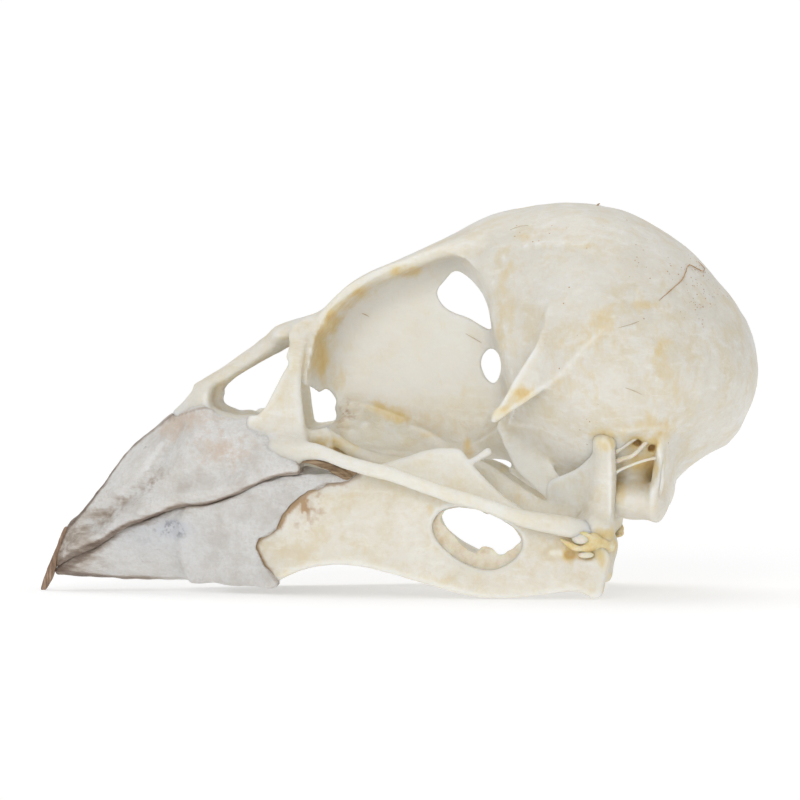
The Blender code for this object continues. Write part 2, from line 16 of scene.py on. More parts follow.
import bpy
import numpy as np
import openvdb
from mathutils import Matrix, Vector


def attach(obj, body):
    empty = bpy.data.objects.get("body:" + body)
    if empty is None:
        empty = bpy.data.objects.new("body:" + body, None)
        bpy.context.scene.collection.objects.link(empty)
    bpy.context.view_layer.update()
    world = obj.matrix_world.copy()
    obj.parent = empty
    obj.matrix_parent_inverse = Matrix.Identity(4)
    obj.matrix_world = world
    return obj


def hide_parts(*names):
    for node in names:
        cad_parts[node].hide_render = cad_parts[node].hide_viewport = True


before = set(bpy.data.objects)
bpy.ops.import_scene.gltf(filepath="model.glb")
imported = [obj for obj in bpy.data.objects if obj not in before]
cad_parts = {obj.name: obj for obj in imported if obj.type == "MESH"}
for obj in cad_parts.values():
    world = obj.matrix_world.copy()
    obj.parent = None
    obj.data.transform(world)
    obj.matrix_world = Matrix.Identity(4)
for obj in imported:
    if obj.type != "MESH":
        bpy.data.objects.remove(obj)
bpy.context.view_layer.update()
print("the packed model has", len(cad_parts), "nodes")

# %% [markdown]
# ## Units and the side view
#
# All shapes are worked out in millimetres, as in the part's own source: X from the bill tip to
# the back of the head, Y across it with the left side at -Y, Z up from the table. The frame has
# its origin in the middle of the skull's length, 0.02 mm off that X, so the last step of every
# piece shifts and scales its points. Profiles are lists of a few measured points, and a smooth
# curve is drawn through them. A sculpted mesh would be as free in its forms, but only numbers
# that are read off a picture can be checked and put right one by one.

# %% Curves through measured points
MM = 0.001
MIDDLE_X = -0.02


def profile(points):
    """A smooth curve through (x, value) points, for whole arrays of x."""
    xs, zs = np.array(points, float).T
    slopes = np.gradient(zs, xs)

    def at(x):
        x = np.asarray(x, float)
        k = np.clip(np.searchsorted(xs, x) - 1, 0, len(xs) - 2)
        span = xs[k + 1] - xs[k]
        t = np.clip((x - xs[k]) / span, 0, 1)
        bend = t * (1 - t) * ((1 - t) * slopes[k] - t * slopes[k + 1]) * span
        return zs[k] + (zs[k + 1] - zs[k]) * t * t * (3 - 2 * t) + bend
    return at


def smooth_path(points, steps=5, closed=False):
    """Points along a smooth curve through the given ones, in two or three dimensions."""
    pts = np.array(points, float)
    count = len(pts)
    t = (np.arange(steps) / steps)[:, None]
    out = []
    for k in range(count if closed else count - 1):
        pick = [(k + i - 1) % count if closed else min(max(k + i - 1, 0), count - 1)
                for i in range(4)]
        a, b, c, d = pts[pick]
        out.append(0.5 * (2 * b + (c - a) * t + (2 * a - 5 * b + 4 * c - d) * t ** 2
                          + (3 * b - a - 3 * c + d) * t ** 3))
    if not closed:
        out.append(pts[-1:])
    return np.concatenate(out)


def closed_path(points, steps=3):
    """The same for an outline, which ends where it began."""
    return smooth_path(points, steps, closed=True)


CROWN = profile([
    (-4.2, 11.85), (-3.6, 12.1), (-3.0, 12.75), (-2.2, 13.5), (-1.3, 14.05), (0.0, 14.6),
    (2.3, 15.7), (3.8, 16.45), (5.4, 16.87), (7.4, 17.12), (8.9, 17.02), (9.9, 16.78),
    (11.5, 15.98), (13.0, 14.88), (14.0, 13.74), (15.0, 12.36), (15.6, 11.2), (15.85, 9.9)])
CRANIAL_BASE = profile([
    (3.3, 6.7), (4.2, 6.0), (5.0, 5.6), (6.0, 4.85), (8.0, 4.1), (9.6, 3.6), (11.0, 3.65),
    (11.8, 4.4), (12.6, 5.1), (13.6, 5.9), (14.6, 6.7), (15.4, 8.0), (15.8, 9.8)])
BRAINCASE_HALF = profile([
    (2.2, 2.2), (3.0, 3.2), (3.8, 4.0), (4.6, 4.65), (5.3, 5.2), (6.0, 5.8), (7.0, 6.75),
    (8.0, 7.4), (9.3, 7.75), (11.0, 7.6), (12.5, 6.9), (14.0, 5.3), (15.0, 3.6), (15.6, 1.9),
    (15.82, 0.4)])
print("crown at the middle of the skull:", round(float(CROWN(0.0)), 2), "mm")

# %% [markdown]
# ## The lattice and its fields
#
# A field is an array with one number for each lattice point. Only the left half is worked out,
# up to the plane of symmetry, and the right half is its mirror image: that halves the work.
# `join` is the soft minimum, `carve` takes one field out of another and `meet` keeps what they
# share, each with a rounding radius in millimetres. Metaballs join as softly, but they know only
# balls and rods, and nothing can be cut out of them with a crisp edge.

# %% The lattice, and how fields are joined
FAR = 1.6                 # no field says more than this, in millimetres


class Lattice:
    """A box of points one step apart, from a low corner to y = 0."""

    def __init__(self, low, high, step):
        self.low, self.step = np.array(low, np.float32), step
        self.low[1] = -step * math.ceil(-low[1] / step)
        counts = [math.ceil((high[0] - low[0]) / step) + 1, round(-self.low[1] / step) + 1,
                  math.ceil((high[2] - low[2]) / step) + 1]
        self.shape = tuple(counts)
        x, y, z = (self.low[i] + step * np.arange(counts[i], dtype=np.float32) for i in range(3))
        self.x, self.y, self.z = x[:, None, None], y[None, :, None], z[None, None, :]

    def window(self, low, high):
        """The part of the lattice inside a box, as slices, with its own x, y and z."""
        first = np.clip(np.floor((np.array(low) - self.low) / self.step), 0, self.shape)
        last = np.clip(np.ceil((np.array(high) - self.low) / self.step) + 1, 0, self.shape)
        part = tuple(slice(int(a), int(b)) for a, b in zip(first, last))
        return part, self.x[part[0]], self.y[:, part[1]], self.z[:, :, part[2]]


def join(a, b, r):
    """Both bodies as one, with a fillet of about the radius r."""
    h = np.clip(0.5 + 0.5 * (b - a) / r, 0, 1)
    return b + (a - b) * h - r * h * (1 - h)


def meet(a, b, r):
    """What two bodies share, with its edges rounded."""
    return -join(-a, -b, r)


def carve(a, b, r):
    """The first body with the second taken out of it."""
    return -join(-a, b, r)


def step_up(value, low, high):
    """A smooth rise from 0 to 1 as the value goes from low to high."""
    t = np.clip((value - low) / (high - low), 0, 1)
    return t * t * (3 - 2 * t)


def bell(value, width):
    """1 where the value is 0, and next to nothing past two widths."""
    return np.exp(-(value / width) ** 2)


# %% [markdown]
# ## Solids as fields
#
# A superellipse whose size follows two profiles gives domes and bills. Its value is not yet a
# distance, so it is divided by its own slope. Rods follow a smooth path, and a ball is squeezed
# along three axes. Plates are drawn in the side view, as a doctor's drawing would show them, and
# get a middle surface and a thickness across the skull.

# %% Fields of round solids
def true_distance(value, step):
    """Divides a field by its own slope, so that it grows by one for each millimetre."""
    slope = np.sqrt(sum(g * g for g in np.gradient(value, step)))
    return np.clip(value / np.maximum(slope, 0.05), -2, FAR)


def loft(lattice, top, bottom, half, waist, upper, lower):
    """A body with superellipse sections along x, widest at its waist, a share of its height.

    The powers above and below the waist are 2 for an ellipse and more for a boxier section.
    """
    x, y, z = lattice.x, lattice.y, lattice.z
    high, low, wide = top(x), bottom(x), np.maximum(half(x), 0.12)
    level = low + waist * (high - low)
    above = z >= level
    power = np.where(above, upper, lower)
    rise = np.maximum(np.where(above, high - level, level - low), 0.05)
    value = ((np.abs(y) / wide) ** power + (np.abs(z - level) / rise) ** power) ** (1 / power) - 1
    return true_distance(np.minimum(value, 4).astype(np.float32), lattice.step)


def ball(lattice, centre, radii, turn=0.0, tilt=0.0):
    """An ellipsoid, turned about Z and tilted about Y by angles in degrees."""
    reach = max(radii) + FAR
    part, x, y, z = lattice.window(np.array(centre) - reach, np.array(centre) + reach)
    x, y, z = x - centre[0], y - centre[1], z - centre[2]
    c, s = math.cos(math.radians(turn)), math.sin(math.radians(turn))
    x, y = x * c + y * s, y * c - x * s
    c, s = math.cos(math.radians(tilt)), math.sin(math.radians(tilt))
    x, z = x * c - z * s, z * c + x * s
    near = np.sqrt((x / radii[0]) ** 2 + (y / radii[1]) ** 2 + (z / radii[2]) ** 2)
    far = np.sqrt((x / radii[0] ** 2) ** 2 + (y / radii[1] ** 2) ** 2 + (z / radii[2] ** 2) ** 2)
    field = np.full(lattice.shape, FAR, np.float32)
    field[part] = np.minimum(near * (near - 1) / np.maximum(far, 1e-3), FAR)
    return field


def spread_out(radii, count):
    """So many radii, evenly spaced between the given ones."""
    return np.interp(np.linspace(0, 1, count), np.linspace(0, 1, len(radii)), radii)


def rod(lattice, points, radii, wide=1.0, tall=1.0):
    """A round rod along a smooth path, or a flat one where it is made wide or tall."""
    path = smooth_path(points)
    sizes = spread_out(radii, len(path))
    field = np.full(lattice.shape, FAR, np.float32)
    reach = max(radii) * max(wide, tall) + FAR
    for a, b, ra, rb in zip(path, path[1:], sizes, sizes[1:]):
        part, x, y, z = lattice.window(np.minimum(a, b) - reach, np.maximum(a, b) + reach)
        ab = (b - a) / (1, wide, tall)
        px, py, pz = x - a[0], (y - a[1]) / wide, (z - a[2]) / tall
        t = np.clip((px * ab[0] + py * ab[1] + pz * ab[2]) / max(ab @ ab, 1e-9), 0, 1)
        d = np.sqrt((px - ab[0] * t) ** 2 + (py - ab[1] * t) ** 2 + (pz - ab[2] * t) ** 2)
        field[part] = np.minimum(field[part], d - (ra + (rb - ra) * t))
    return field


# %% Distances in the side view, and plates
def line_distance(x, z, line):
    """How far each (x, z) of the side view is from a line through points."""
    best = np.full(np.broadcast(x, z).shape, 1e3)
    for (ax, az), (bx, bz) in zip(line, line[1:]):
        dx, dz = bx - ax, bz - az
        t = np.clip(((x - ax) * dx + (z - az) * dz) / max(dx * dx + dz * dz, 1e-9), 0, 1)
        best = np.minimum(best, np.hypot(x - ax - t * dx, z - az - t * dz))
    return best


def outline_distance(x, z, outline):
    """The same for a closed outline, below zero inside it."""
    ring = np.vstack([outline, outline[:1]])
    inside = np.zeros(np.broadcast(x, z).shape, bool)
    for (ax, az), (bx, bz) in zip(ring, ring[1:]):
        if az != bz:
            crosses = ((az > z) != (bz > z)) & (x < (bx - ax) * (z - az) / (bz - az) + ax)
            inside ^= crosses
    away = line_distance(x, z, ring)
    return np.where(inside, -away, away)


def plate(lattice, outline, middle, half, edge=0.12):
    """A bent sheet: its outline in the side view, its middle surface, and half its thickness."""
    flat = outline_distance(lattice.x, lattice.z, outline)
    slope = np.sqrt(1 + sum(g * g for g in np.gradient(
        np.broadcast_to(middle, (lattice.shape[0], 1, lattice.shape[2]))[:, 0, :],
        lattice.step)))[:, None, :]
    return meet(flat, (np.abs(lattice.y - middle) - half) / slope, edge).astype(np.float32)


# %% [markdown]
# ## From a field to a mesh
#
# OpenVDB, which comes with Blender, finds the skin where the field crosses zero. Each corner is
# then moved onto the true skin along the field's slope, which takes the lattice's steps out.
# Loose scraps are dropped, so a bone stays one closed surface. Fine unevenness comes last: value
# noise on a second, invisible lattice pushes each corner in or out by a few hundredths of a
# millimetre, the way bone and horn are never quite even.

# %% Values between lattice points, noise, and loose scraps
def sample(field, index):
    """Values of a field between its lattice points."""
    top = np.array(field.shape) - 1.001
    p = np.clip(index, 0, top)
    i = p.astype(int)
    f = p - i
    total = 0.0
    for corner in np.ndindex(2, 2, 2):
        weight = np.prod(np.where(corner, f, 1 - f), axis=1)
        total = total + weight * field[tuple((i + corner).T)]
    return total


def grain(points, size, seed=0):
    """Smooth random numbers from -1 to 1 that change over the given size in millimetres."""
    p = np.asarray(points) / size + 37.7 * seed + 101.3
    i = np.floor(p)
    f = p - i
    f = f * f * (3 - 2 * f)
    total = 0.0
    for corner in np.ndindex(2, 2, 2):
        key = np.sin((i + corner) @ (12.9898, 78.233, 37.719)) * 43758.5453
        total = total + np.prod(np.where(corner, f, 1 - f), axis=1) * (key - np.floor(key))
    return total * 2 - 1


def largest_surface(points, quads):
    """Only the faces of the largest connected surface."""
    label = np.arange(len(points))
    while True:
        low = label[quads].min(axis=1)
        new = label.copy()
        np.minimum.at(new, quads.ravel(), np.repeat(low, 4))
        new = new[new]
        if (new == label).all():
            break
        label = new
    owner = label[quads[:, 0]]
    names, counts = np.unique(owner, return_counts=True)
    quads = quads[owner == names[counts.argmax()]]
    used, flat = np.unique(quads, return_inverse=True)
    return points[used], flat.reshape(quads.shape)


# %% Mesh objects
def add_object(name, data):
    obj = bpy.data.objects.new(name, data)
    bpy.context.scene.collection.objects.link(obj)
    return obj


def new_mesh_object(name, points, faces):
    """A mesh object from arrays, in millimetres; it is scaled to metres here."""
    mesh = bpy.data.meshes.new(name)
    mesh.vertices.add(len(points))
    mesh.vertices.foreach_set("co", ((points - (MIDDLE_X, 0, 0)) * MM).astype(np.float32).ravel())
    mesh.loops.add(faces.size)
    mesh.loops.foreach_set("vertex_index", faces.astype(np.int32).ravel())
    mesh.polygons.add(len(faces))
    mesh.polygons.foreach_set("loop_start", np.arange(0, faces.size, faces.shape[1]))
    mesh.update(calc_edges=True)
    mesh.shade_smooth()
    return add_object(name, mesh)


MOST_TRIANGLES = 190000


def skin(name, lattice, field, mirror=True, rough=()):
    """The mesh of a field; with mirror the field's like on the right side is one body with it.

    Each layer of roughness is its size and its height in millimetres, and a seed.
    """
    if mirror:
        field = np.concatenate([field, field[:, -2::-1]], axis=1)
    field = np.ascontiguousarray(field, np.float32)
    grid = openvdb.FloatGrid(background=FAR)
    grid.copyFromArray(np.pad(field, 1, constant_values=FAR))
    index, quads = grid.convertToQuads(isovalue=0.0)
    index = index.astype(float) - 1
    index, quads = largest_surface(index, quads.astype(int))
    slopes = np.gradient(field, lattice.step)
    longest_move = 0.12
    for _ in range(2):
        away = sample(field, index)
        lean = np.stack([sample(s, index) for s in slopes], axis=1)
        size = np.maximum((lean * lean).sum(axis=1), 0.2)
        move = np.clip((away / size)[:, None] * lean, -longest_move, longest_move)
        index -= move / lattice.step
    points = index * lattice.step + lattice.low
    lean /= np.linalg.norm(lean, axis=1)[:, None] + 1e-9
    for size, height, seed in rough:
        points += lean * (grain(points, size, seed) * height)[:, None]
    obj = new_mesh_object(name, points, quads)
    if 2 * len(quads) > MOST_TRIANGLES:
        fewer = obj.modifiers.new("fewer faces", "DECIMATE")
        fewer.ratio = MOST_TRIANGLES / (2 * len(quads))
        fewer.use_collapse_triangulate = True
        settled(obj)
    print(f"{name}: {len(quads)} squares on the lattice, {len(obj.data.polygons)} faces kept")
    return obj


def settled(obj):
    """Replaces the object's mesh by what its modifiers make of it, and removes them."""
    bpy.context.view_layer.update()
    mesh = bpy.data.meshes.new_from_object(
        obj.evaluated_get(bpy.context.evaluated_depsgraph_get()))
    obj.modifiers.clear()
    old, obj.data = obj.data, mesh
    bpy.data.meshes.remove(old)


def corners(obj):
    """The object's points in millimetres, in the frame of the drawings."""
    co = np.zeros(len(obj.data.vertices) * 3)
    obj.data.vertices.foreach_get("co", co)
    return co.reshape(-1, 3) / MM + (MIDDLE_X, 0, 0)


# %% [markdown]
# ## The braincase and the roof
#
# The braincase is the thin shell that the brain filled, round as an egg. It is a loft through the
# crown, the base and the widths. A loft ends in a point, so it is cut off near its end, and a ball
# rounds the back of the head. In front it is cut by the rear rim of the orbit, as drawn from the
# photograph. The roof between the eyes is an arched plate that hangs a little at its two rims.

# %% Dome
head = Lattice((-10.7, -8.4, 2.7), (16.5, 0.0, 17.8), 0.1)
X, Y, Z = head.x, head.y, head.z
ROOF_HALF = profile([
    (-4.3, 2.5), (-3.0, 3.0), (-1.5, 2.75), (0.0, 2.5), (1.5, 2.6), (3.0, 2.7), (4.5, 2.7),
    (5.6, 2.7), (6.6, 2.6)])
ROOF_SAG = profile([
    (-4.3, 0.1), (-3.0, 0.05), (-1.5, 0.05), (0.5, 0.12), (1.8, 0.3), (3.0, 0.65), (4.5, 0.9),
    (5.6, 1.0), (6.6, 1.0)])

WAIST = 0.47              # the height of the widest place, as a share of the dome's height
DOME_POWER, BASE_POWER = 2.1, 1.75
LOFT_END = 15.1
dome = loft(head, CROWN, CRANIAL_BASE, BRAINCASE_HALF, WAIST, DOME_POWER, BASE_POWER)
dome = meet(dome, X - LOFT_END, 0.5)
back_of_head = ball(head, (11.01, 0, 9.9), (4.8, 6.5, 4.5))
dome = join(dome, back_of_head, 0.4)
BEHIND_ORBIT = smooth_path([
    (2.3, 16.4), (2.55, 15.4), (3.1, 14.55), (3.72, 13.7), (4.08, 12.9), (4.27, 12.0),
    (4.42, 11.25), (4.64, 10.6), (4.82, 9.9), (4.95, 9.0), (4.9, 8.2), (4.5, 7.4), (3.9, 6.8),
    (3.3, 6.3)], 3)
BEHIND_ORBIT = np.vstack([BEHIND_ORBIT, [(3.3, 2.0), (18.0, 2.0), (18.0, 19.0), (2.3, 19.0)]])
dome = meet(dome, outline_distance(X, Z, BEHIND_ORBIT), 0.65)

high, low = CROWN(X), CRANIAL_BASE(X)
level = low + WAIST * (high - low)
rise = np.clip(np.abs(Z - level) / (high - level), 0, 1)
dome_side = BRAINCASE_HALF(X) * (1 - rise ** DOME_POWER) ** (1 / DOME_POWER)
print("dome:", round(2 * float(dome_side.max()), 1), "mm wide")

# %% Roof between the eyes
span = np.abs(Y) / ROOF_HALF(X)
roof_top = CROWN(X) - ROOF_SAG(X) * span ** 2 - 0.5 * step_up(X, 4.2, 7.2)
lean_x, lean_y = np.gradient(roof_top[:, :, 0], head.step)
roof_slope = np.sqrt(1 + lean_x ** 2 + lean_y ** 2)[:, :, None]
above_roof = (Z - roof_top) / roof_slope
ROOF_THICK, ROOF_FRONT, ROOF_BACK = 0.75, -4.35, 7.2
roof_under = ROOF_THICK * (1 - 0.5 * np.minimum(span, 1.2) ** 2)
roof = meet(above_roof, -above_roof - roof_under, 0.1)
roof = meet(roof, (np.abs(Y) - ROOF_HALF(X)) * 0.8, 0.3)
roof = meet(meet(roof, X - ROOF_BACK, 0.2), ROOF_FRONT - X, 0.2)
print("dome and roof on", head.shape, "points")

# %% [markdown]
# ## The two orbits
#
# Between the eyes of a small bird there is only a plate as thin as paper, and it swells into the
# roof, the wall in front and the braincase behind. The orbit is drawn once in the side view. Deep
# inside that outline the plate is 0.4 mm thick, and towards the outline its half thickness grows
# along a quarter circle, which is the hollow that held the eyeball.

# %% The plate between the orbits
ORBIT = closed_path([
    (-3.85, 9.2), (-3.75, 10.3), (-3.5, 11.4), (-3.0, 12.35), (-2.1, 13.15), (-0.9, 13.95),
    (0.8, 14.75), (2.0, 15.05), (3.0, 14.75), (3.85, 13.9), (4.4, 12.9), (4.65, 11.8),
    (4.9, 10.6), (5.15, 9.4), (5.2, 8.3), (4.7, 7.2), (3.5, 6.35), (2.0, 6.0), (0.0, 6.1),
    (-1.5, 6.4), (-2.6, 7.0), (-3.4, 8.0)], 4)
inside_orbit = -outline_distance(X, Z, ORBIT)
hollow_size = (0.8 + 1.5 * step_up(Z, 7.6, 10.5)) * (1 - 0.5 * step_up(X, 0.8, 3.0))
near_rim = 1 - np.clip(inside_orbit / hollow_size, 0, 1)
THINNEST, RIM_RISE, RIM_CURL, LOW_HALF = 0.2, 3.3, 2.6, 0.45
half_plate = THINNEST + RIM_RISE * (1 - (1 - near_rim ** RIM_CURL) ** (1 / RIM_CURL))
front = step_up(-X, 1.5, 3.0)
to_roof = ROOF_HALF(X) - LOW_HALF + 0.4 * step_up(-Z, -12.0, -10.0) * front
widest = LOW_HALF + to_roof * np.maximum(step_up(Z, 6.9, 7.7), step_up(-X, 2.3, 2.9))
widest = np.minimum(widest, np.maximum(dome_side - 0.25 + 3 * step_up(-X, -4.2, -3.2), 0.5))
half_plate = np.minimum(half_plate, widest)
plate_slope = np.sqrt(1 + sum(g * g for g in np.gradient(half_plate[:, 0, :], head.step)))
septum = (np.abs(Y) - half_plate) / np.minimum(plate_slope, 3)[:, None, :]
BLOCK = closed_path([
    (-4.3, 11.9), (-3.4, 12.6), (-2.2, 13.6), (0.0, 14.9), (3.0, 16.4), (6.0, 16.4), (6.0, 7.5),
    (5.0, 6.1), (3.6, 6.3), (2.0, 6.2), (0.0, 6.1), (-2.2, 6.2), (-3.3, 6.2), (-4.0, 7.0),
    (-4.3, 9.0), (-4.4, 10.5)])
septum = meet(septum, outline_distance(X, Z, BLOCK), 0.15)
septum = meet(septum, above_roof + 0.1, 0.1)
deep_in = step_up(-above_roof, 0.6, 2.4)
skull = join(join(dome, septum, 0.2 + deep_in), roof, 0.25 + 0.4 * deep_in)
skull = meet(skull, (Z - CROWN(X)) / roof_slope, 0.1)
rostrum = rod(head, [
    (-2.8, 0, 6.7), (0, 0, 6.5), (2.5, 0, 6.4), (4.2, 0, 6.15), (5.4, 0, 5.6), (7.0, 0, 4.9)],
    [0.35, 0.38, 0.4, 0.36, 0.5, 0.9])
skull = join(skull, rostrum, 0.3)
print("plate between the orbits:", round(2 * float(half_plate.min()), 2), "mm at its thinnest")

# %% [markdown]
# ## The bony bill
#
# Under the horn the bill is a light wedge of bone. A bar runs over the nostrils from the bill to
# the forehead, where it bends like a hinge, and a strut on each side closes the nostril behind.
# The recess of the nostril is carved with a wide rounding from the side, and a smaller opening
# goes right across. Under the horn the bone is set back, so the sheath stands proud of it.

# %% Curves of the bill
CULMEN = profile([
    (-15.0, 1.9), (-14.6, 2.75), (-14.0, 3.44), (-12.93, 4.8), (-12.05, 5.99), (-10.5, 7.35),
    (-9.5, 8.15), (-8.7, 8.95), (-8.2, 8.9), (-7.8, 8.2), (-7.2, 7.85), (-6.2, 7.75), (-5.5, 7.2),
    (-4.9, 6.5), (-4.3, 6.1)])
GAPE = profile([
    (-15.2, 0.95), (-14.3, 1.59), (-13.1, 2.2), (-12.05, 2.9), (-10.8, 3.35), (-9.67, 3.83),
    (-8.17, 4.0), (-6.98, 4.45), (-6.1, 4.9), (-5.0, 5.3), (-4.2, 5.4), (-1.0, 5.6)])
BILL_HALF = profile([
    (-15.0, 0.25), (-14.3, 0.8), (-12.9, 1.6), (-11.5, 2.3), (-9.8, 3.0), (-8.0, 3.7),
    (-6.2, 4.2), (-4.3, 4.5)])
UPPER_BORDER = smooth_path([
    (-10.4, 8.6), (-9.9, 7.9), (-9.5, 7.85), (-8.8, 8.1), (-8.2, 8.2), (-7.66, 8.0), (-6.9, 8.0),
    (-6.1, 7.96), (-5.6, 7.61), (-5.1, 7.3), (-5.0, 6.85), (-4.8, 6.35), (-4.62, 6.05),
    (-4.25, 5.9), (-4.1, 5.3)], 4)
UPPER_AREA = np.vstack([UPPER_BORDER, [(-4.1, 0.0), (-16.0, 0.0), (-16.0, 8.6)]])


def bill_block(lattice, shrink):
    """The wedge of the upper bill, made smaller all round by a thickness of horn."""
    boxy = step_up(lattice.x, -10.5, -7.8)
    block = loft(lattice, lambda x: CULMEN(x) + 0.15 * step_up(x, -8.4, -7.6),
                 lambda x: GAPE(x) - 0.7, BILL_HALF, 0.32, 1.7 + 3.0 * boxy, 3.0)
    block = meet(block, np.maximum(lattice.x + 4.2, -15.05 - lattice.x), 0.15)
    return meet(block, (GAPE(lattice.x) + 0.02 - lattice.z) * 0.9, 0.08) + shrink


# %% Nose bar, nasal struts and the wedge under the horn
CORE_FRONT = -10.4
covered = -outline_distance(X, Z, UPPER_AREA)
set_back = 0.02 + step_up(covered, -0.05, 0.45) * (0.12 + 0.24 * step_up(-X, 8.2, 9.2))
core = meet(bill_block(head, set_back), CORE_FRONT - X, 0.1)
bar_rod = rod(head, [
    (-10.2, 0, 6.6), (-9.2, 0, 7.95), (-8.3, 0, 8.85), (-7.5, 0, 9.45), (-6.3, 0, 10.3),
    (-5.3, 0, 11.05), (-4.6, 0, 11.4), (-3.6, 0, 11.6)], [0.8, 0.68, 0.52, 0.47, 0.46, 0.46, 0.44,
    0.42], wide=2.2)
bar = np.where(X < -9.0, np.maximum(bar_rod, core), bar_rod)
forehead = rod(head, [
    (-5.2, 0, 11.3), (-4.4, 0, 11.5), (-3.2, 0, 11.9)], [0.35, 0.42, 0.5], wide=5.2)
NASAL = closed_path([
    (-3.7, 12.1), (-4.5, 11.6), (-4.75, 10.6), (-5.6, 9.2), (-6.4, 8.0), (-6.3, 6.9), (-5.0, 6.2),
    (-3.9, 6.25), (-4.02, 8.0), (-4.12, 9.4), (-3.95, 11.0)], 4)
nasal_middle = -3.55 - 0.35 * step_up(-Z, -7.4, -6.2) + 0.075 * np.maximum(Z - 8.0, 0) ** 2
strut_field = plate(head, NASAL, nasal_middle, 0.28 + 0.1 * step_up(-Z, -9.5, -7.0), 0.25)
nose = join(join(core, bar, 0.5), join(forehead, strut_field, 0.4), 0.35)
skull = join(skull, nose, 0.3)
print("nose bar and struts joined on")

# %% Nostril
NOSTRIL = closed_path([
    (-8.0, 9.0), (-8.2, 8.6), (-8.1, 8.2), (-7.7, 7.98), (-6.9, 7.9), (-6.25, 8.0), (-5.75, 8.8),
    (-5.15, 9.7), (-4.84, 10.15), (-5.1, 10.42), (-5.85, 10.23), (-6.55, 9.84), (-7.2, 9.42),
    (-7.7, 9.15)])
THROUGH = closed_path([
    (-7.75, 8.85), (-7.3, 9.35), (-6.55, 9.84), (-5.85, 10.23), (-5.19, 10.49), (-4.7, 10.2),
    (-5.0, 9.6), (-5.4, 8.8), (-5.75, 8.15), (-6.2, 7.85), (-6.95, 8.3), (-7.45, 8.6)])
nostril = meet(outline_distance(X, Z, NOSTRIL), 0.75 + Y, 0.3)
skull = carve(skull, nostril, 0.3)
skull = carve(skull, outline_distance(X, Z, THROUGH), 0.12)
print("nostril carved")

# %% [markdown]
# ## Windows in the plate
#
# Light comes through the skull in three places: two windows at the back of the plate, where the
# nerves passed, and one in front of the eye. They go right across, so they are carved from their
# outlines.

# %% Windows
WINDOW = closed_path([
    (1.72, 13.12), (2.03, 13.65), (2.5, 14.09), (3.05, 13.83), (3.57, 13.3), (3.9, 12.7),
    (4.05, 11.98), (4.02, 11.5), (3.13, 12.02), (2.12, 12.46)], 4)
SLIT = closed_path([
    (3.62, 9.97), (3.73, 10.4), (4.03, 10.68), (4.38, 10.5), (4.52, 10.06), (4.47, 9.58),
    (4.2, 9.15), (3.84, 9.4)], 4)
FRONT_HOLE = closed_path([
    (-4.6, 9.2), (-3.9, 9.1), (-3.5, 8.76), (-3.19, 8.89), (-2.93, 8.67), (-2.75, 8.37),
    (-2.84, 8.06), (-2.73, 7.71), (-2.9, 7.35), (-3.4, 7.15), (-4.6, 7.1)])


def opening(outline, deep):
    """An outline of the side view as a hole through the plate, so far to each side."""
    return meet(outline_distance(X, Z, outline), np.abs(Y) - deep, 0.1)


for window, deep in ((WINDOW, 3.0), (SLIT, 3.0), (FRONT_HOLE, 3.3)):
    skull = carve(skull, opening(window, deep), 0.08)
print("three windows carved")

# %% [markdown]
# ## Processes, ear and base
#
# Behind the eye a blade of bone points down and forward, where a muscle of the jaw held on. It is
# a bent plate that hugs the dome, with a raised rib along both its edges. Below it the side wall
# ends in an eave over the jaw joint. Behind that lies the ear: a wide cavity carved by two balls,
# with a thin wing at its back, a soft floor and two shallow pits. The base has the knob and the
# great hole of the neck, and a low plate slopes from it to the orbit.

# %% Postorbital blade
BLADE = closed_path([
    (7.0, 12.9), (6.65, 12.0), (6.25, 11.1), (5.6, 10.05), (4.75, 8.6), (4.3, 7.85), (4.5, 7.7),
    (5.2, 8.2), (5.9, 8.65), (7.4, 9.8), (8.3, 10.9), (9.1, 11.6), (10.0, 12.2), (10.4, 12.6),
    (9.0, 13.3)])
FRONT_RIB = smooth_path([(6.6, 12.3), (6.35, 11.3), (5.75, 10.2), (4.95, 8.85), (4.4, 7.95)], 4)
REAR_RIB = smooth_path([
    (11.2, 12.95), (10.0, 12.45), (9.05, 11.65), (8.2, 10.8), (7.3, 9.85), (5.9, 8.8),
    (4.7, 7.95)], 4)
rib = (0.09 * bell(line_distance(X, Z, FRONT_RIB), 0.22) * step_up(-Z, -12.3, -10.6)
       + 0.11 * bell(line_distance(X, Z, REAR_RIB), 0.2) * step_up(-X, -10.4, -8.6))
stand = 6.1 - 0.15 * step_up(-Z, -10.0, -8.0)
outward = dome_side - 0.26
outward = 0.5 * (outward + stand + np.sqrt((outward - stand) ** 2 + 0.04))
BLADE_HALF = 0.24
blade = plate(head, BLADE, -outward, BLADE_HALF + rib, 0.14)
blade_tip = ball(head, (4.62, -6.0, 8.12), (0.3, 0.24, 0.2), tilt=-35)
skull = join(skull, join(blade, blade_tip, 0.2), 0.3)
print("blade behind the eye joined on")

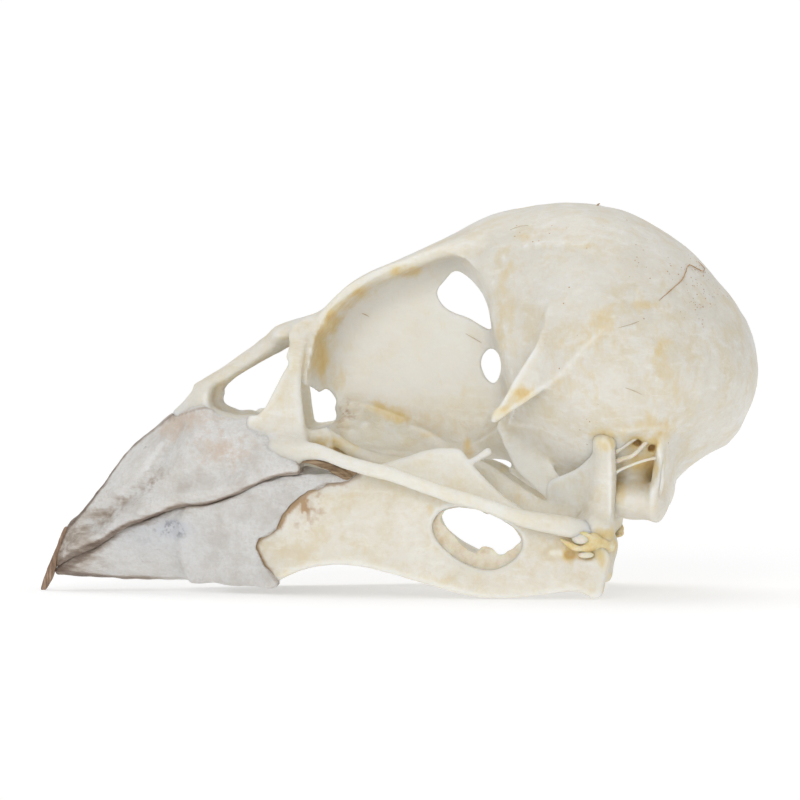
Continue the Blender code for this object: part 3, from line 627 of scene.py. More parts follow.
# %% Eave over the jaw joint, and the ear
EAVE = closed_path([
    (3.6, 7.3), (5.0, 8.05), (5.8, 8.0), (7.1, 7.35), (7.9, 6.85), (8.5, 6.5), (8.85, 6.9),
    (9.1, 7.3), (9.5, 7.45), (9.95, 7.1), (10.2, 5.0), (9.8, 2.0), (3.0, 2.0)])
side_wall = -4.15 - 0.9 * np.maximum(Z - 5.0, 0) - 0.3 * np.clip(X - 7.0, 0, 2)
eave = meet(outline_distance(X, Z, EAVE), (Y - side_wall) * 0.8, 0.6)
skull = carve(skull, eave, 0.4)
ear_mouth = ball(head, (10.75, -7.3, 5.5), (1.35, 1.75, 1.85), tilt=-8)
skull = carve(skull, ear_mouth, 0.2)
wing = ball(head, (11.8, -4.9, 5.5), (0.32, 1.8, 2.2), turn=-12, tilt=8)
floor_plate = ball(head, (10.45, -4.75, 4.25), (1.4, 1.3, 0.85), tilt=4)
skull = join(join(skull, wing, 0.3), floor_plate, 0.6)
ear_hollow = ball(head, (10.7, -7.05, 5.8), (1.15, 1.35, 1.3), tilt=-8)
skull = carve(skull, ear_hollow, 0.2)
for pit, radii in (((10.65, -5.95, 6.85), (0.26, 0.45, 0.17)),
                   ((11.3, -5.75, 6.65), (0.16, 0.35, 0.26))):
    skull = carve(skull, ball(head, pit, radii, tilt=25), 0.08)
print("eave and ear carved")

# %% Base of the skull
BASE = closed_path([(4.9, 5.6), (7.0, 4.1), (10.6, 3.35), (11.2, 3.8), (10.0, 5.0)])
skull = join(skull, plate(head, BASE, 0.0, 1.6, 0.3), 0.4)
neck_knob = ball(head, (11.35, 0, 3.75), (0.5, 0.7, 0.42))
neck_hole = ball(head, (12.9, 0, 5.9), (1.9, 1.5, 1.5), tilt=45)
skull = carve(join(skull, neck_knob, 0.12), neck_hole, 0.15)
BASAL_PLATE = closed_path([
    (4.5, 7.6), (4.62, 6.9), (4.95, 6.2), (5.25, 5.55), (6.0, 4.8), (6.9, 4.0), (7.5, 3.7),
    (7.9, 4.3), (7.3, 5.2), (6.7, 6.0), (6.2, 6.9), (5.8, 8.0)])
skull = join(skull, plate(head, BASAL_PLATE, -3.1 - 0.35 * (X - 4.5), 0.13, 0.1), 0.25)
print("base joined on, with the knob and hole of the neck")

# %% [markdown]
# ## Cheek and palate
#
# The jugal bar is a thin rod that hangs in the air from the bill to the jaw joint. In front it
# grows out of the foot of the nasal strut. The palatines lie under the plate between the orbits,
# each a flat rod with a thin upright sheet. A second sheet slopes down and outwards from the plate
# and is the orbit's floor. Thin rods and small lumps lie on it, as they do in the photograph, and
# behind its end a sliver of light comes through under the braincase.

# %% Jugal bars and palatines
jugal = rod(head, [
    (-5.2, -3.9, 6.3), (-4.2, -4.15, 6.35), (-3.2, -4.6, 6.3), (-2.2, -5.05, 5.95),
    (-1.1, -5.45, 5.65), (-0.2, -5.75, 5.45), (0.7, -6.0, 5.15), (1.6, -6.2, 4.85),
    (2.5, -6.4, 4.55), (4.0, -6.7, 4.15), (5.5, -6.9, 3.62), (6.7, -6.95, 3.38), (7.6, -6.9, 3.2),
    (8.45, -6.65, 3.05)],
    [0.34, 0.3, 0.26, 0.25, 0.25, 0.25, 0.24, 0.24, 0.24, 0.24, 0.27, 0.32, 0.35, 0.3], tall=1.35)
skull = join(skull, jugal, 0.3)
palatine = rod(head, [
    (-4.6, -2.0, 6.1), (-3.0, -2.3, 5.95), (-1.5, -2.4, 5.8), (0.8, -2.2, 5.6), (2.2, -1.7, 5.6),
    (3.4, -0.9, 5.75)], [0.26, 0.24, 0.22, 0.26, 0.26, 0.22], wide=1.9)
skull = join(skull, palatine, 0.25)
CHOANA = closed_path([
    (-4.4, 6.4), (-3.0, 6.5), (-1.0, 6.3), (1.5, 6.1), (3.3, 6.1), (3.5, 5.9), (2.6, 5.5),
    (0.0, 5.3), (-2.5, 5.4), (-4.2, 5.8)])
inwards = -2.05 + 0.12 * (X + 1) ** 2 * (X > -1)
skull = join(skull, plate(head, CHOANA, inwards, 0.16, 0.1), 0.5)
print("cheek and palate joined on")

# %% Floor of the orbit
FLOOR = closed_path([
    (-2.6, 8.7), (-1.6, 8.8), (0.0, 8.5), (1.6, 7.6), (3.2, 6.7), (3.6, 5.9), (2.4, 5.5),
    (-0.5, 5.4), (-2.8, 5.6), (-2.55, 6.8), (-2.45, 7.7)])
FLOOR_TOP = profile([(-3.0, 8.6), (-1.6, 8.7), (0.0, 8.3), (1.6, 7.5), (3.6, 6.6)])
FLOOR_SLOPE = 0.72        # millimetres outwards for each millimetre down
slope_down = 0.05 - FLOOR_SLOPE * np.maximum(FLOOR_TOP(X) - Z, 0)
skull = join(skull, plate(head, FLOOR, np.maximum(slope_down, -2.9), 0.2, 0.2), 0.6)


def on_floor(x, z, sunk=0.0):
    """A point on the sloping sheet, or a little under its surface."""
    return (x, -0.2 - FLOOR_SLOPE * max(float(FLOOR_TOP(x)) - z, 0) + sunk, z)


for path, sizes in (([on_floor(0.6, 7.25), on_floor(1.3, 6.95), on_floor(2.1, 6.45),
                      on_floor(2.8, 6.15)], [0.05, 0.13, 0.13, 0.06]),
                    ([(-4.2, -3.3, 6.8), (-3.6, -3.2, 6.98), (-2.85, -3.0, 6.9),
                      (-1.93, -2.8, 6.35), (-0.9, -2.6, 5.95), (0.6, -2.4, 5.6)],
                     [0.3, 0.3, 0.28, 0.25, 0.22, 0.2]),
                    ([(2.75, -0.3, 7.1), (2.95, -0.4, 6.8), (3.2, -0.6, 6.3)], [0.03, 0.07, 0.1]),
                    ([on_floor(-2.2, 8.3), on_floor(-1.5, 8.2), on_floor(-0.6, 7.9),
                      on_floor(0.2, 7.6)], [0.04, 0.09, 0.08, 0.04])):
    skull = join(skull, rod(head, path, sizes, wide=1.3), 0.3)
for x, z, size in ((-2.2, 7.5, 0.2), (-2.0, 6.95, 0.24), (-1.45, 7.3, 0.18), (-1.7, 7.8, 0.15)):
    skull = join(skull, ball(head, on_floor(x, z, 0.15), (size * 1.3, size, size)), 0.3)
skull = carve(skull, opening(FRONT_HOLE, 3.3), 0.1)
BASE_GAP = closed_path([
    (3.72, 5.72), (4.3, 5.86), (4.85, 5.78), (5.0, 5.55), (4.5, 5.2), (3.9, 5.3)])
skull = carve(skull, outline_distance(X, Z, BASE_GAP), 0.1)
print("floor of the orbit joined on")

# %% [markdown]
# ## Relief of the side wall
#
# In the photograph a bright crease shows where the frontal bone overlaps the side of the dome.
# Such fine forms are easiest to describe in the side view too: a low ridge along the crease, a
# shallow hollow under it, and a soft rib towards the nape, all under a tenth of a millimetre high.
# They are added straight to the field, as a depth in millimetres.

# %% Relief
CREASE = smooth_path([
    (4.3, 13.5), (4.45, 14.12), (4.8, 14.86), (5.5, 15.3), (6.42, 15.45), (7.47, 15.47),
    (8.56, 15.17), (9.87, 14.42), (10.75, 14.0)], 5)
BELOW_CREASE = np.vstack([CREASE, [(10.6, 12.6), (9.0, 11.5), (7.2, 11.2), (5.0, 12.2)]])
under_crease = outline_distance(X, Z, BELOW_CREASE) < 0
from_crease = line_distance(X, Z, CREASE)
depth = 0.07 * step_up(from_crease, 0.0, 0.45) * bell(from_crease, 1.5) * under_crease
depth = depth - 0.08 * bell(from_crease, 0.13) * step_up(-X, -10.5, -5.5)
on_side = step_up(-Y, 1.5, 2.8) * step_up(X, 4.7, 6.2)
skull = skull + (depth * on_side).astype(np.float32)
NAPE = smooth_path([(9.4, 7.2), (11.0, 7.5), (12.4, 7.6), (13.3, 8.6), (13.6, 10.5)], 5)
nape = line_distance(X, Z, NAPE)
skull = skull - (0.07 * bell(nape, 0.16) * step_up(-Y, 1.0, 2.0)).astype(np.float32)
skull_bone = skin("skull_bone", head, skull, rough=((2.2, 0.035, 1), (0.8, 0.018, 2),
                                                    (0.3, 0.008, 3)))

# %% [markdown]
# ## The lower jaw
#
# Each half of the jaw is one leaning plate: tall where the closing muscle pulled, with an oval
# window, and thick at its lower edge and at the joint. The plate is bent by two profiles, how far
# out it stands and how much it leans, and balls make the thick end that the quadrate sits on.

# %% Outlines of the lower jaw
mouth = Lattice((-15.6, -7.6, -0.3), (10.2, 0.0, 7.2), 0.08)
CHIN = profile([
    (-15.2, 0.72), (-13.5, 0.62), (-12.2, 0.57), (-9.5, 0.53), (-7.2, 0.44), (-5.3, 0.33)])
CHIN_HALF = profile([
    (-15.2, 0.2), (-14.5, 0.65), (-13.0, 1.3), (-11.0, 2.05), (-9.0, 2.75), (-7.4, 3.2)])
RAMUS_OUT = profile([
    (-9.6, 2.2), (-7.5, 2.95), (-5.0, 3.8), (-2.0, 4.7), (1.0, 5.4), (4.0, 5.85), (7.0, 6.1),
    (9.8, 6.2)])
RAMUS_LEAN = profile([
    (-9.6, -0.42), (-7.5, -0.26), (-5.0, -0.04), (-2.0, 0.16), (1.0, 0.24), (4.0, 0.22),
    (7.0, 0.12), (9.8, 0.08)])
RAMUS = closed_path([
    (-9.3, 3.6), (-8.0, 4.0), (-5.0, 5.2), (-2.2, 5.35), (-0.6, 5.85), (0.4, 6.15), (1.4, 6.5),
    (2.3, 6.6), (3.0, 6.5), (3.65, 5.7), (4.65, 4.72), (5.5, 4.1), (6.2, 3.65), (7.4, 3.2),
    (8.2, 2.75), (9.1, 2.5), (9.5, 1.9), (9.38, 1.25), (9.25, 0.6), (9.15, 0.15), (8.8, 0.0),
    (8.5, 0.14), (8.1, 0.3), (7.6, 0.3), (6.6, 0.14), (5.2, 0.0), (4.1, 0.02), (3.0, 0.2),
    (1.2, 0.65), (-0.7, 1.15), (-2.2, 1.35), (-3.7, 1.2), (-4.9, 0.7), (-5.6, 0.35), (-8.0, 0.5),
    (-9.3, 0.8)])
JAW_WINDOW = closed_path([
    (1.75, 3.2), (1.95, 2.55), (2.6, 1.95), (3.4, 1.5), (4.3, 1.3), (5.1, 1.6), (5.6, 2.2),
    (5.45, 2.9), (4.5, 3.5), (3.2, 3.9), (2.2, 3.8)], 4)
INNER_WINDOW = closed_path([
    (2.1, 3.5), (2.2, 3.15), (2.7, 2.75), (3.05, 2.35), (3.6, 2.0), (3.95, 2.25), (4.35, 2.2),
    (4.7, 1.95), (5.3, 2.3), (5.6, 2.6), (5.3, 3.05), (4.4, 3.6), (3.2, 3.95), (2.4, 3.85)])
print("lower jaw on", mouth.shape, "points")

# %% The rami
X, Y, Z = mouth.x, mouth.y, mouth.z
ramus_middle = -RAMUS_OUT(X) + RAMUS_LEAN(X) * (Z - 2.5)
thick = 0.36 + 0.16 * step_up(-Z, -2.2, -0.4) + 0.12 * step_up(X, 6.0, 8.0)
thick = thick - 0.1 * step_up(Z, 4.0, 6.0)
jaw = plate(mouth, RAMUS, ramus_middle, thick, 0.28)
jaw = carve(jaw, outline_distance(X, Z, JAW_WINDOW), 0.2)
for centre, radii, turn in (((8.6, -5.9, 1.55), (0.85, 0.85, 0.8), 0),
                            ((8.9, -5.7, 0.7), (0.36, 0.55, 0.62), 0),
                            ((7.25, -6.4, 2.05), (0.5, 0.35, 0.28), 10),
                            ((8.9, -4.9, 2.0), (0.5, 0.9, 0.5), 30)):
    jaw = join(jaw, ball(mouth, centre, radii, turn), 0.3)
groove = rod(mouth, [(6.6, -6.6, 2.75), (7.1, -6.75, 2.62), (7.8, -6.8, 2.6)], [0.1, 0.13])
jaw = carve(jaw, groove, 0.1)
jaw = carve(jaw, ball(mouth, (7.8, -6.8, 1.98), (0.24, 0.3, 0.2), tilt=20), 0.15)
jaw = carve(jaw, ball(mouth, (8.5, -6.85, 1.95), (0.45, 0.3, 0.2)), 0.12)
peg = rod(mouth, [(3.2, -5.0, 5.8), (3.6, -4.9, 6.05), (4.1, -4.8, 6.35)], [0.2, 0.2, 0.22])
jaw = join(jaw, peg, 0.12)
print("one ramus:", round(float(2 * thick.max()), 2), "mm at its thickest")

# %% Chin, and the cut of the mouth
chin = loft(mouth, lambda x: GAPE(x) + 0.8, CHIN, CHIN_HALF, 0.68, 3.0, 1.7)
chin = meet(chin, np.maximum(X + 7.6, -15.2 - X), 0.2)
jaw_whole = join(jaw, chin, 0.5)
jaw_whole = meet(jaw_whole, np.where(X < -1.2, (Z - GAPE(X) + 0.02) * 0.9, -FAR), 0.1)
jaw_whole = np.maximum(jaw_whole, -Z).astype(np.float32)
print("the jaw is cut level with the table and along the mouth")

# %% [markdown]
# ## The horn sheaths
#
# A bill is covered by horn, as a finger's end is by its nail, and the dry horn lies on the bone as
# a thin skin. Both sheaths use the bone's own fields, pushed outwards and cut off along the ragged
# rear border that the photograph shows. The bone under the lower sheath is pushed inwards, to
# leave a step at that border.

# %% Lower sheath and jaw bone
LOWER_BORDER = smooth_path([
    (-1.2, 6.2), (-1.45, 5.4), (-1.9, 5.15), (-2.3, 4.98), (-3.0, 4.9), (-3.4, 4.72),
    (-3.9, 4.45), (-4.35, 4.0), (-4.85, 3.5), (-5.05, 3.05), (-5.55, 2.7), (-5.9, 2.45),
    (-6.05, 2.2), (-5.95, 1.8), (-5.7, 1.3), (-5.35, 0.85), (-5.1, 0.4), (-5.1, -0.6)], 4)
LOWER_AREA = np.vstack([LOWER_BORDER, [(-16.0, -0.6), (-16.0, 6.2)]])
lower_edge = outline_distance(X, Z, LOWER_AREA)


def uneven(x, z, size, height, seed):
    """Value noise over the side view, to make a border or a surface uneven."""
    shape = np.broadcast(x, z).shape
    flat = [np.broadcast_to(v, shape).ravel() for v in (x, 0.0, z)]
    return height * grain(np.stack(flat, axis=1), size, seed).reshape(shape)


ragged = uneven(X, Z, 0.55, 0.13, 31) + uneven(X, Z, 0.17, 0.05, 32)
under_lip = 0.06 * bell(GAPE(X) - Z, 0.25) * step_up(-X, 4.5, 6.5)
flaking = uneven(X, Z, 0.4, 0.06, 33) * step_up(X, -9.0, -5.5)
lower_horn = jaw_whole - 0.06 + under_lip + flaking
lower_horn = meet(lower_horn, lower_edge + ragged, 0.05)
lower_horn = meet(lower_horn, (Z - GAPE(X) + 0.01) * 0.9, 0.1)
lower_horn = np.maximum(lower_horn, -Z + 0.3)
jaw_field = jaw_whole + 0.05 + 0.14 * step_up(-lower_edge, -0.1, 0.4)
jaw_bone = skin("jaw_bone", mouth, jaw_field, rough=((1.6, 0.03, 4), (0.5, 0.012, 5)))
lower_sheath = skin("lower_sheath", mouth, lower_horn,
                    rough=((1.4, 0.05, 6), (0.5, 0.03, 7), (0.2, 0.012, 8)))

# %% Upper sheath
beak = Lattice((-15.5, -4.9, 0.9), (-3.6, 0.0, 9.5), 0.07)
X, Y, Z = beak.x, beak.y, beak.z
HORN_THICK = 0.05
upper_edge = outline_distance(X, Z, UPPER_AREA)
ragged = uneven(X, Z, 0.5, 0.12, 34) + uneven(X, Z, 0.17, 0.07, 35)
upper_horn = meet(bill_block(beak, -HORN_THICK), upper_edge + ragged, 0.06)
nose_room = np.maximum(np.maximum(-8.3 - X, X + 4.6), 7.5 - Z)
upper_horn = carve(upper_horn, np.maximum(nose_room, np.abs(Y) - 3.15), 0.05)
tomium = Z - GAPE(X)
lip = 0.14 * bell(tomium - 0.42, 0.3) - 0.1 * bell(tomium - 1.15, 0.35)
FOLD = smooth_path([(-9.4, 7.3), (-9.8, 6.5), (-10.6, 5.4), (-12.0, 3.9), (-13.6, 2.75)], 5)
fold = line_distance(X, Z, FOLD)
groove = 0.2 * bell(fold, 0.3) - 0.08 * bell(fold - 0.8, 0.4)
groove = groove - lip * step_up(-X, 4.5, 7.0) + uneven(X, Z, 0.5, 0.04, 36)
upper_horn = upper_horn + (groove * step_up(-Y, 0.3, 1.0)).astype(np.float32)
upper_sheath = skin("upper_sheath", beak, upper_horn,
                    rough=((1.3, 0.05, 9), (0.45, 0.028, 10), (0.18, 0.012, 11)))

# %% [markdown]
# ## Quadrates and pterygoids
#
# The quadrate is the three-cornered bone that hangs the jaw from the braincase: a pillar with a
# round head in the ear's front edge, a thin sheet that points into the orbit, and a broad foot on
# the jaw. From its inner side a pterygoid rod leads forward to the palate. They are one field on
# the left, and one on the right made from the same points with Y turned round.

# %% Quadrates and pterygoids
joint = Lattice((2.6, -8.0, 2.2), (10.6, 0.0, 7.8), 0.07)
X, Y, Z = joint.x, joint.y, joint.z
pillar = rod(joint, [
    (9.28, -6.2, 6.9), (9.36, -6.1, 6.2), (9.32, -5.95, 5.2), (9.15, -5.85, 4.3),
    (8.9, -5.9, 3.3)], [0.4, 0.34, 0.36, 0.44, 0.6])
head_ball = ball(joint, (9.25, -6.25, 6.9), (0.46, 0.44, 0.44))
foot = join(ball(joint, (8.6, -5.9, 3.1), (0.95, 0.85, 0.5)),
            ball(joint, (9.2, -5.8, 2.75), (0.46, 0.75, 0.55)), 0.25)
foot = join(foot, ball(joint, (8.85, -6.4, 3.2), (0.5, 0.42, 0.45)), 0.25)
SHEET = closed_path([
    (9.3, 6.6), (9.5, 5.0), (9.35, 3.4), (8.2, 3.0), (7.6, 3.4), (6.9, 3.8), (6.65, 4.7),
    (6.95, 5.15), (7.95, 5.6), (8.75, 6.3)], 4)
sheet_middle = -4.45 - 0.5 * (X - 7.0) - 0.5 * step_up(X, 7.4, 9.2)
sheet = plate(joint, SHEET, sheet_middle, 0.14 + 0.14 * step_up(X, 7.5, 9.2), 0.1)
quadrate = join(join(pillar, head_ball, 0.35), join(foot, sheet, 0.3), 0.6)
pterygoid = rod(joint, [
    (8.2, -4.9, 3.4), (6.6, -4.3, 3.7), (5.2, -3.4, 4.5), (4.3, -2.6, 5.15), (3.4, -1.5, 5.6)],
    [0.36, 0.36, 0.36, 0.31, 0.24], tall=1.35)
cheek = join(quadrate, pterygoid, 0.2)
quadrate_bones = skin("quadrate_bones_left", joint, cheek, mirror=False,
                      rough=((0.9, 0.02, 12), (0.3, 0.008, 13)))

# %% [markdown]
# ## The splinter of horn
#
# The very tip of the upper sheath has split off and hangs down to the table: a thin sliver, brown
# as horn is where it is thick, with the long grain of horn along it.

# %% Splinter
tip = Lattice((-16.6, -0.6, -0.1), (-14.2, 0.0, 3.2), 0.03)
X, Y, Z = tip.x, tip.y, tip.z
SLIVER = closed_path([
    (-14.7, 2.8), (-14.85, 2.6), (-15.1, 1.95), (-15.45, 1.1), (-15.7, 0.45), (-15.8, 0.02),
    (-15.62, 0.0), (-15.35, 0.4), (-15.17, 0.85), (-14.98, 1.5), (-14.8, 2.1), (-14.6, 2.65)], 4)
across = 0.26 - 0.03 * (Z - 1.5) ** 2 + 0.02 * np.sin(14 * X + 5 * Z)
sliver = meet(outline_distance(X, Z, SLIVER), np.abs(Y) - across, 0.08)
sliver = np.maximum(sliver, -Z + 0.005)
splinter = skin("horn_splinter", tip, sliver, rough=((0.25, 0.02, 14),))

# %% [markdown]
# ## Dried tissue
#
# A paper-thin cream film lines the rim of the left jaw window, and the opening inside its chipped
# edge is clear. Where the bill opens, a strip of brown tissue, fibrous as wood, is left between
# the horn and the cheek. A ring of amber ligament still holds the jaw joint, round a pale knob of
# cartilage. They are separate pieces, because they are another stuff than bone.

# %% The dried film in the left window of the jaw
pane = Lattice((1.2, -7.0, 0.8), (6.2, 0.0, 4.4), 0.05)
X, Y, Z = pane.x, pane.y, pane.z
film_edge = outline_distance(X, Z, INNER_WINDOW) + uneven(X, Z, 0.3, 0.06, 39)
film = meet(np.maximum(outline_distance(X, Z, JAW_WINDOW) - 0.2, -film_edge),
            np.abs(Y + RAMUS_OUT(X) - RAMUS_LEAN(X) * (Z - 2.5) - 0.12) - 0.07, 0.06)
window_film = skin("window_film", pane, film, mirror=False, rough=((0.3, 0.03, 40),))

# %% Tissue at the gape and at the jaw joint
corner = Lattice((-4.8, -5.4, 4.8), (-1.4, 0.0, 6.8), 0.05)
X, Y, Z = corner.x, corner.y, corner.z
STRIP = closed_path([
    (-4.35, 6.1), (-4.0, 6.3), (-3.3, 6.2), (-2.6, 5.9), (-1.9, 5.6), (-1.6, 5.45), (-1.75, 5.3),
    (-2.15, 5.12), (-2.9, 5.5), (-3.6, 5.78), (-4.2, 5.85)], 4)
strands = 0.05 * np.sin(26 * (Z + 0.42 * X) + 2.0 * np.sin(3 * X))
strip = plate(corner, STRIP, -4.15 - 0.22 * (X + 4) + strands, 0.12, 0.06)
gape_tissue = skin("gape_tissue", corner, strip, mirror=False, rough=((0.3, 0.03, 15),))

hinge = Lattice((6.6, -7.6, 1.4), (9.9, 0.0, 3.9), 0.05)
X, Y, Z = hinge.x, hinge.y, hinge.z
ring = rod(hinge, [
    (7.35, -6.6, 2.66), (7.65, -6.75, 2.46), (8.1, -6.8, 2.26), (8.55, -6.75, 2.32),
    (8.8, -6.65, 2.65), (8.85, -6.6, 3.0), (8.95, -6.45, 3.35)],
    [0.06, 0.14, 0.13, 0.16, 0.2, 0.17, 0.1])
ring = join(ring, rod(hinge, [
    (8.1, -6.95, 3.0), (8.5, -6.9, 2.85), (8.85, -6.7, 2.6), (9.2, -6.4, 2.5)],
    [0.04, 0.12, 0.16, 0.12]), 0.2)
ring = join(ring, rod(hinge, [
    (8.6, -6.6, 2.35), (9.0, -6.45, 2.45), (9.4, -6.1, 2.35), (9.62, -5.6, 2.3)],
    [0.16, 0.24, 0.24, 0.16], tall=1.3), 0.3)
ring = join(ring, rod(hinge, [(9.3, -6.2, 3.4), (9.5, -6.1, 2.9), (9.55, -5.9, 2.4)],
                      [0.04, 0.1, 0.14]), 0.2)
ligament = skin("joint_ligament", hinge, ring, mirror=False, rough=((0.3, 0.035, 16),))
knob = join(ball(hinge, (8.25, -6.72, 2.74), (0.43, 0.3, 0.33)),
            ball(hinge, (8.47, -6.72, 1.96), (0.34, 0.2, 0.15)), 0.05)
knob = join(knob, rod(hinge, [(8.2, -6.3, 2.6), (8.3, -6.2, 2.3), (8.45, -6.4, 2.0)], [0.1, 0.1]),
            0.05)
cartilage = skin("joint_cartilage", hinge, knob, mirror=False, rough=((0.3, 0.015, 17),))

# %% Right side copies
def right_copy(obj, name):
    """The same mesh on the right side, its faces turned so that they still look outwards."""
    points = corners(obj)
    faces = np.zeros(len(obj.data.loops), int)
    obj.data.loops.foreach_get("vertex_index", faces)
    sides = len(obj.data.polygons[0].vertices)
    return new_mesh_object(name, points * (1, -1, 1), faces.reshape(-1, sides)[:, ::-1])


quadrate_bones_right = right_copy(quadrate_bones, "quadrate_bones_right")
gape_tissue_right = right_copy(gape_tissue, "gape_tissue_right")
ligament_right = right_copy(ligament, "joint_ligament_right")
cartilage_right = right_copy(cartilage, "joint_cartilage_right")
print("four pieces copied to the right")

# %% [markdown]
# ## Masks
#
# The stains sit in definite places, so each mesh carries a colour attribute with four masks. On
# bone they say where dried tissue has left it amber, where it is rusty brown, where painted light
# makes thin bone and shaded recesses lighter, and where edges are whiter and painted highlights
# and lighter patches stand for light. On horn they say where it is pink, where it is brown, which
# along the line of the mouth is painted shadow, where it is bluish, and where a highlight is
# painted. A mask is a sum of soft patches, broken up by value noise. Hollows are made more amber
# and edges
# whiter: how a surface is curved can be read from the field itself, as the sum of its values in
# six directions around a point.

# %% Patches, and how masks are stored
def patch(points, centre, radii):
    """A soft patch: 1 in its middle, 0 far from it."""
    return np.exp(-(((points - centre) / radii) ** 2).sum(axis=1))


def patches(points, table):
    """The sum of soft patches, each with a strength, a centre and radii."""
    return sum(strength * patch(points, centre, radii) for strength, centre, radii in table)


def store_masks(obj, *masks):
    """Stores four masks, each a number or an array, in the channels of one attribute."""
    attribute = obj.data.color_attributes.new("stains", "FLOAT_COLOR", "POINT")
    values = np.ones((len(obj.data.vertices), 4), np.float32)
    for channel, mask in enumerate(masks):
        values[:, channel] = np.clip(mask, 0, 1)
    attribute.data.foreach_set("color", values.ravel())
    print(f"{obj.name}: means of its masks", values.mean(axis=0).round(3))


def curving(lattice, field, points, reach):
    """Below zero where the surface is hollow, above zero on edges and knobs."""
    total = -6 * sample(field, (points - lattice.low) / lattice.step)
    for axis in range(3):
        for side in (-reach, reach):
            near = points.copy()
            near[:, axis] += side
            near[:, 1] = -np.abs(near[:, 1])
            total = total + sample(field, (near - lattice.low) / lattice.step)
    return total / reach


def left(points):
    """The same points with the right side folded onto the left."""
    return points * (1, -1, 1) * np.where(points[:, 1:2] > 0, 1, (1, -1, 1))


# %% Masks of the skull's own bones
p = left(corners(skull_bone))
x, z = p[:, 0], p[:, 2]
curve = curving(head, skull, p, 0.35)
amber = patches(p, (
    (2.4, (-3.3, -2.4, 10.4), (0.3, 2.0, 1.0)), (1.3, (-2.8, -2.0, 11.9), (0.35, 2.0, 0.7)),
    (0.7, (-2.2, -2.0, 12.7), (0.4, 2.0, 0.4)), (0.4, (-2.6, -1.5, 9.4), (0.35, 2.0, 0.8)),
    (1.5, (0.45, -1.8, 14.2), (0.75, 2.0, 0.28)), (0.9, (-1.6, -2.0, 13.2), (0.45, 2.0, 0.3)),
    (1.3, (5.5, -6.3, 8.9), (0.6, 1.0, 0.35)), (1.2, (4.7, -6.3, 8.1), (0.5, 1.0, 0.35)),
    (0.45, (10.7, -5.4, 5.9), (1.1, 1.3, 1.4)), (0.8, (9.3, -6.2, 7.3), (0.7, 1.0, 0.3)),
    (1.4, (10.65, -5.7, 6.9), (0.3, 1.5, 0.3)), (1.0, (9.75, -5.6, 4.9), (0.4, 1.5, 0.6)),
    (1.0, (11.35, -5.6, 6.7), (0.3, 1.5, 0.4)), (0.8, (11.1, -5.5, 5.7), (0.5, 1.5, 0.4)),
    (1.2, (-2.6, -3.0, 6.6), (1.2, 1.0, 0.35)), (1.4, (-0.9, -1.0, 8.15), (0.6, 1.2, 0.28)),
    (1.4, (0.0, -1.2, 7.7), (0.6, 1.2, 0.3)), (0.6, (1.6, -1.6, 6.9), (0.9, 1.2, 0.15)),
    (0.4, (4.9, -4.2, 12.8), (0.45, 1.5, 1.5)), (0.25, (5.2, -4.6, 11.0), (0.5, 1.5, 0.8)),
    (0.4, (8.4, -6.8, 11.2), (1.5, 1.5, 0.7)), (0.6, (10.9, -6.0, 12.8), (1.0, 1.8, 0.25)),
    (0.6, (9.4, -6.5, 12.2), (0.8, 1.5, 0.6)), (0.4, (8.2, -6.8, 9.6), (1.0, 1.2, 0.8)),
    (0.5, (11.6, -6.5, 10.6), (0.7, 1.5, 1.2)), (0.5, (4.8, -4.0, 14.6), (0.4, 1.5, 0.6)),
    (0.5, (5.6, -4.0, 15.7), (0.5, 1.5, 0.2)), (0.4, (8.6, -5.0, 15.4), (0.8, 2.0, 0.15)),
    (0.4, (11.8, -6.0, 8.0), (0.9, 2.0, 1.0)), (0.3, (12.6, -6.0, 9.6), (0.7, 2.0, 1.2)),
    (0.6, (11.2, -5.8, 7.6), (0.8, 1.5, 0.4)), (0.5, (-6.6, -1.2, 8.0), (1.6, 0.8, 0.5)),
    (0.3, (-7.9, -1.2, 8.8), (0.4, 0.8, 0.8)), (0.5, (6.9, -4.2, 4.6), (1.0, 0.8, 0.8)),
    (0.9, (3.1, -0.9, 6.5), (0.25, 0.5, 0.5)), (0.35, (-4.9, -3.6, 8.0), (0.5, 1.0, 0.9))))
amber = amber * (0.8 + 0.5 * grain(p, 0.6, 20) + 0.35 * grain(p, 0.22, 21))
amber = amber + 0.3 * step_up(-curve, 0.35, 1.1) * (0.5 + 0.5 * grain(p, 0.9, 27))

rust = patches(p, ((0.75, (-2.2, -1.0, 7.9), (0.5, 1.5, 0.45)),
                   (0.2, (-1.9, -0.8, 8.8), (0.8, 1.5, 0.6)),
                   (0.3, (-2.5, -1.4, 7.2), (0.25, 1.5, 0.4))))
rust = rust * (0.3 + step_up(grain(p * (0.6, 1.0, 1.2), 0.2, 28) + 0.8 * grain(p, 0.06, 29),
                             -0.4, 0.9))
from_horn = outline_distance(x, z, UPPER_AREA)
rust = rust + 0.7 * patch(p, (-5.9, -3.7, 7.0), (0.5, 0.8, 0.9)) * bell(from_horn, 0.14)
rust = rust + 0.45 * patch(p, (-8.9, -1.2, 8.1), (0.8, 1.5, 0.6)) * bell(from_horn, 0.3)

# Painted light: the plate between the orbits, the wall behind the eye and the upper side of the
# dome are made lighter and less yellow, for light that shines through thin bone and into shaded
# recesses.
front_wall = step_up(-np.abs(p[:, 1]), -1.8, -0.4) * step_up(-x, -5.2, -4.2)
front_wall = front_wall * step_up(x, -3.4, -2.2) * step_up(z, 7.6, 9.2)
painted_glow = 0.9 * front_wall + patches(p, ((0.6, (7.6, -6.0, 13.9), (1.8, 2.2, 1.2)),
                                      (0.4, (5.2, -3.5, 9.5), (1.0, 2.0, 2.5))))
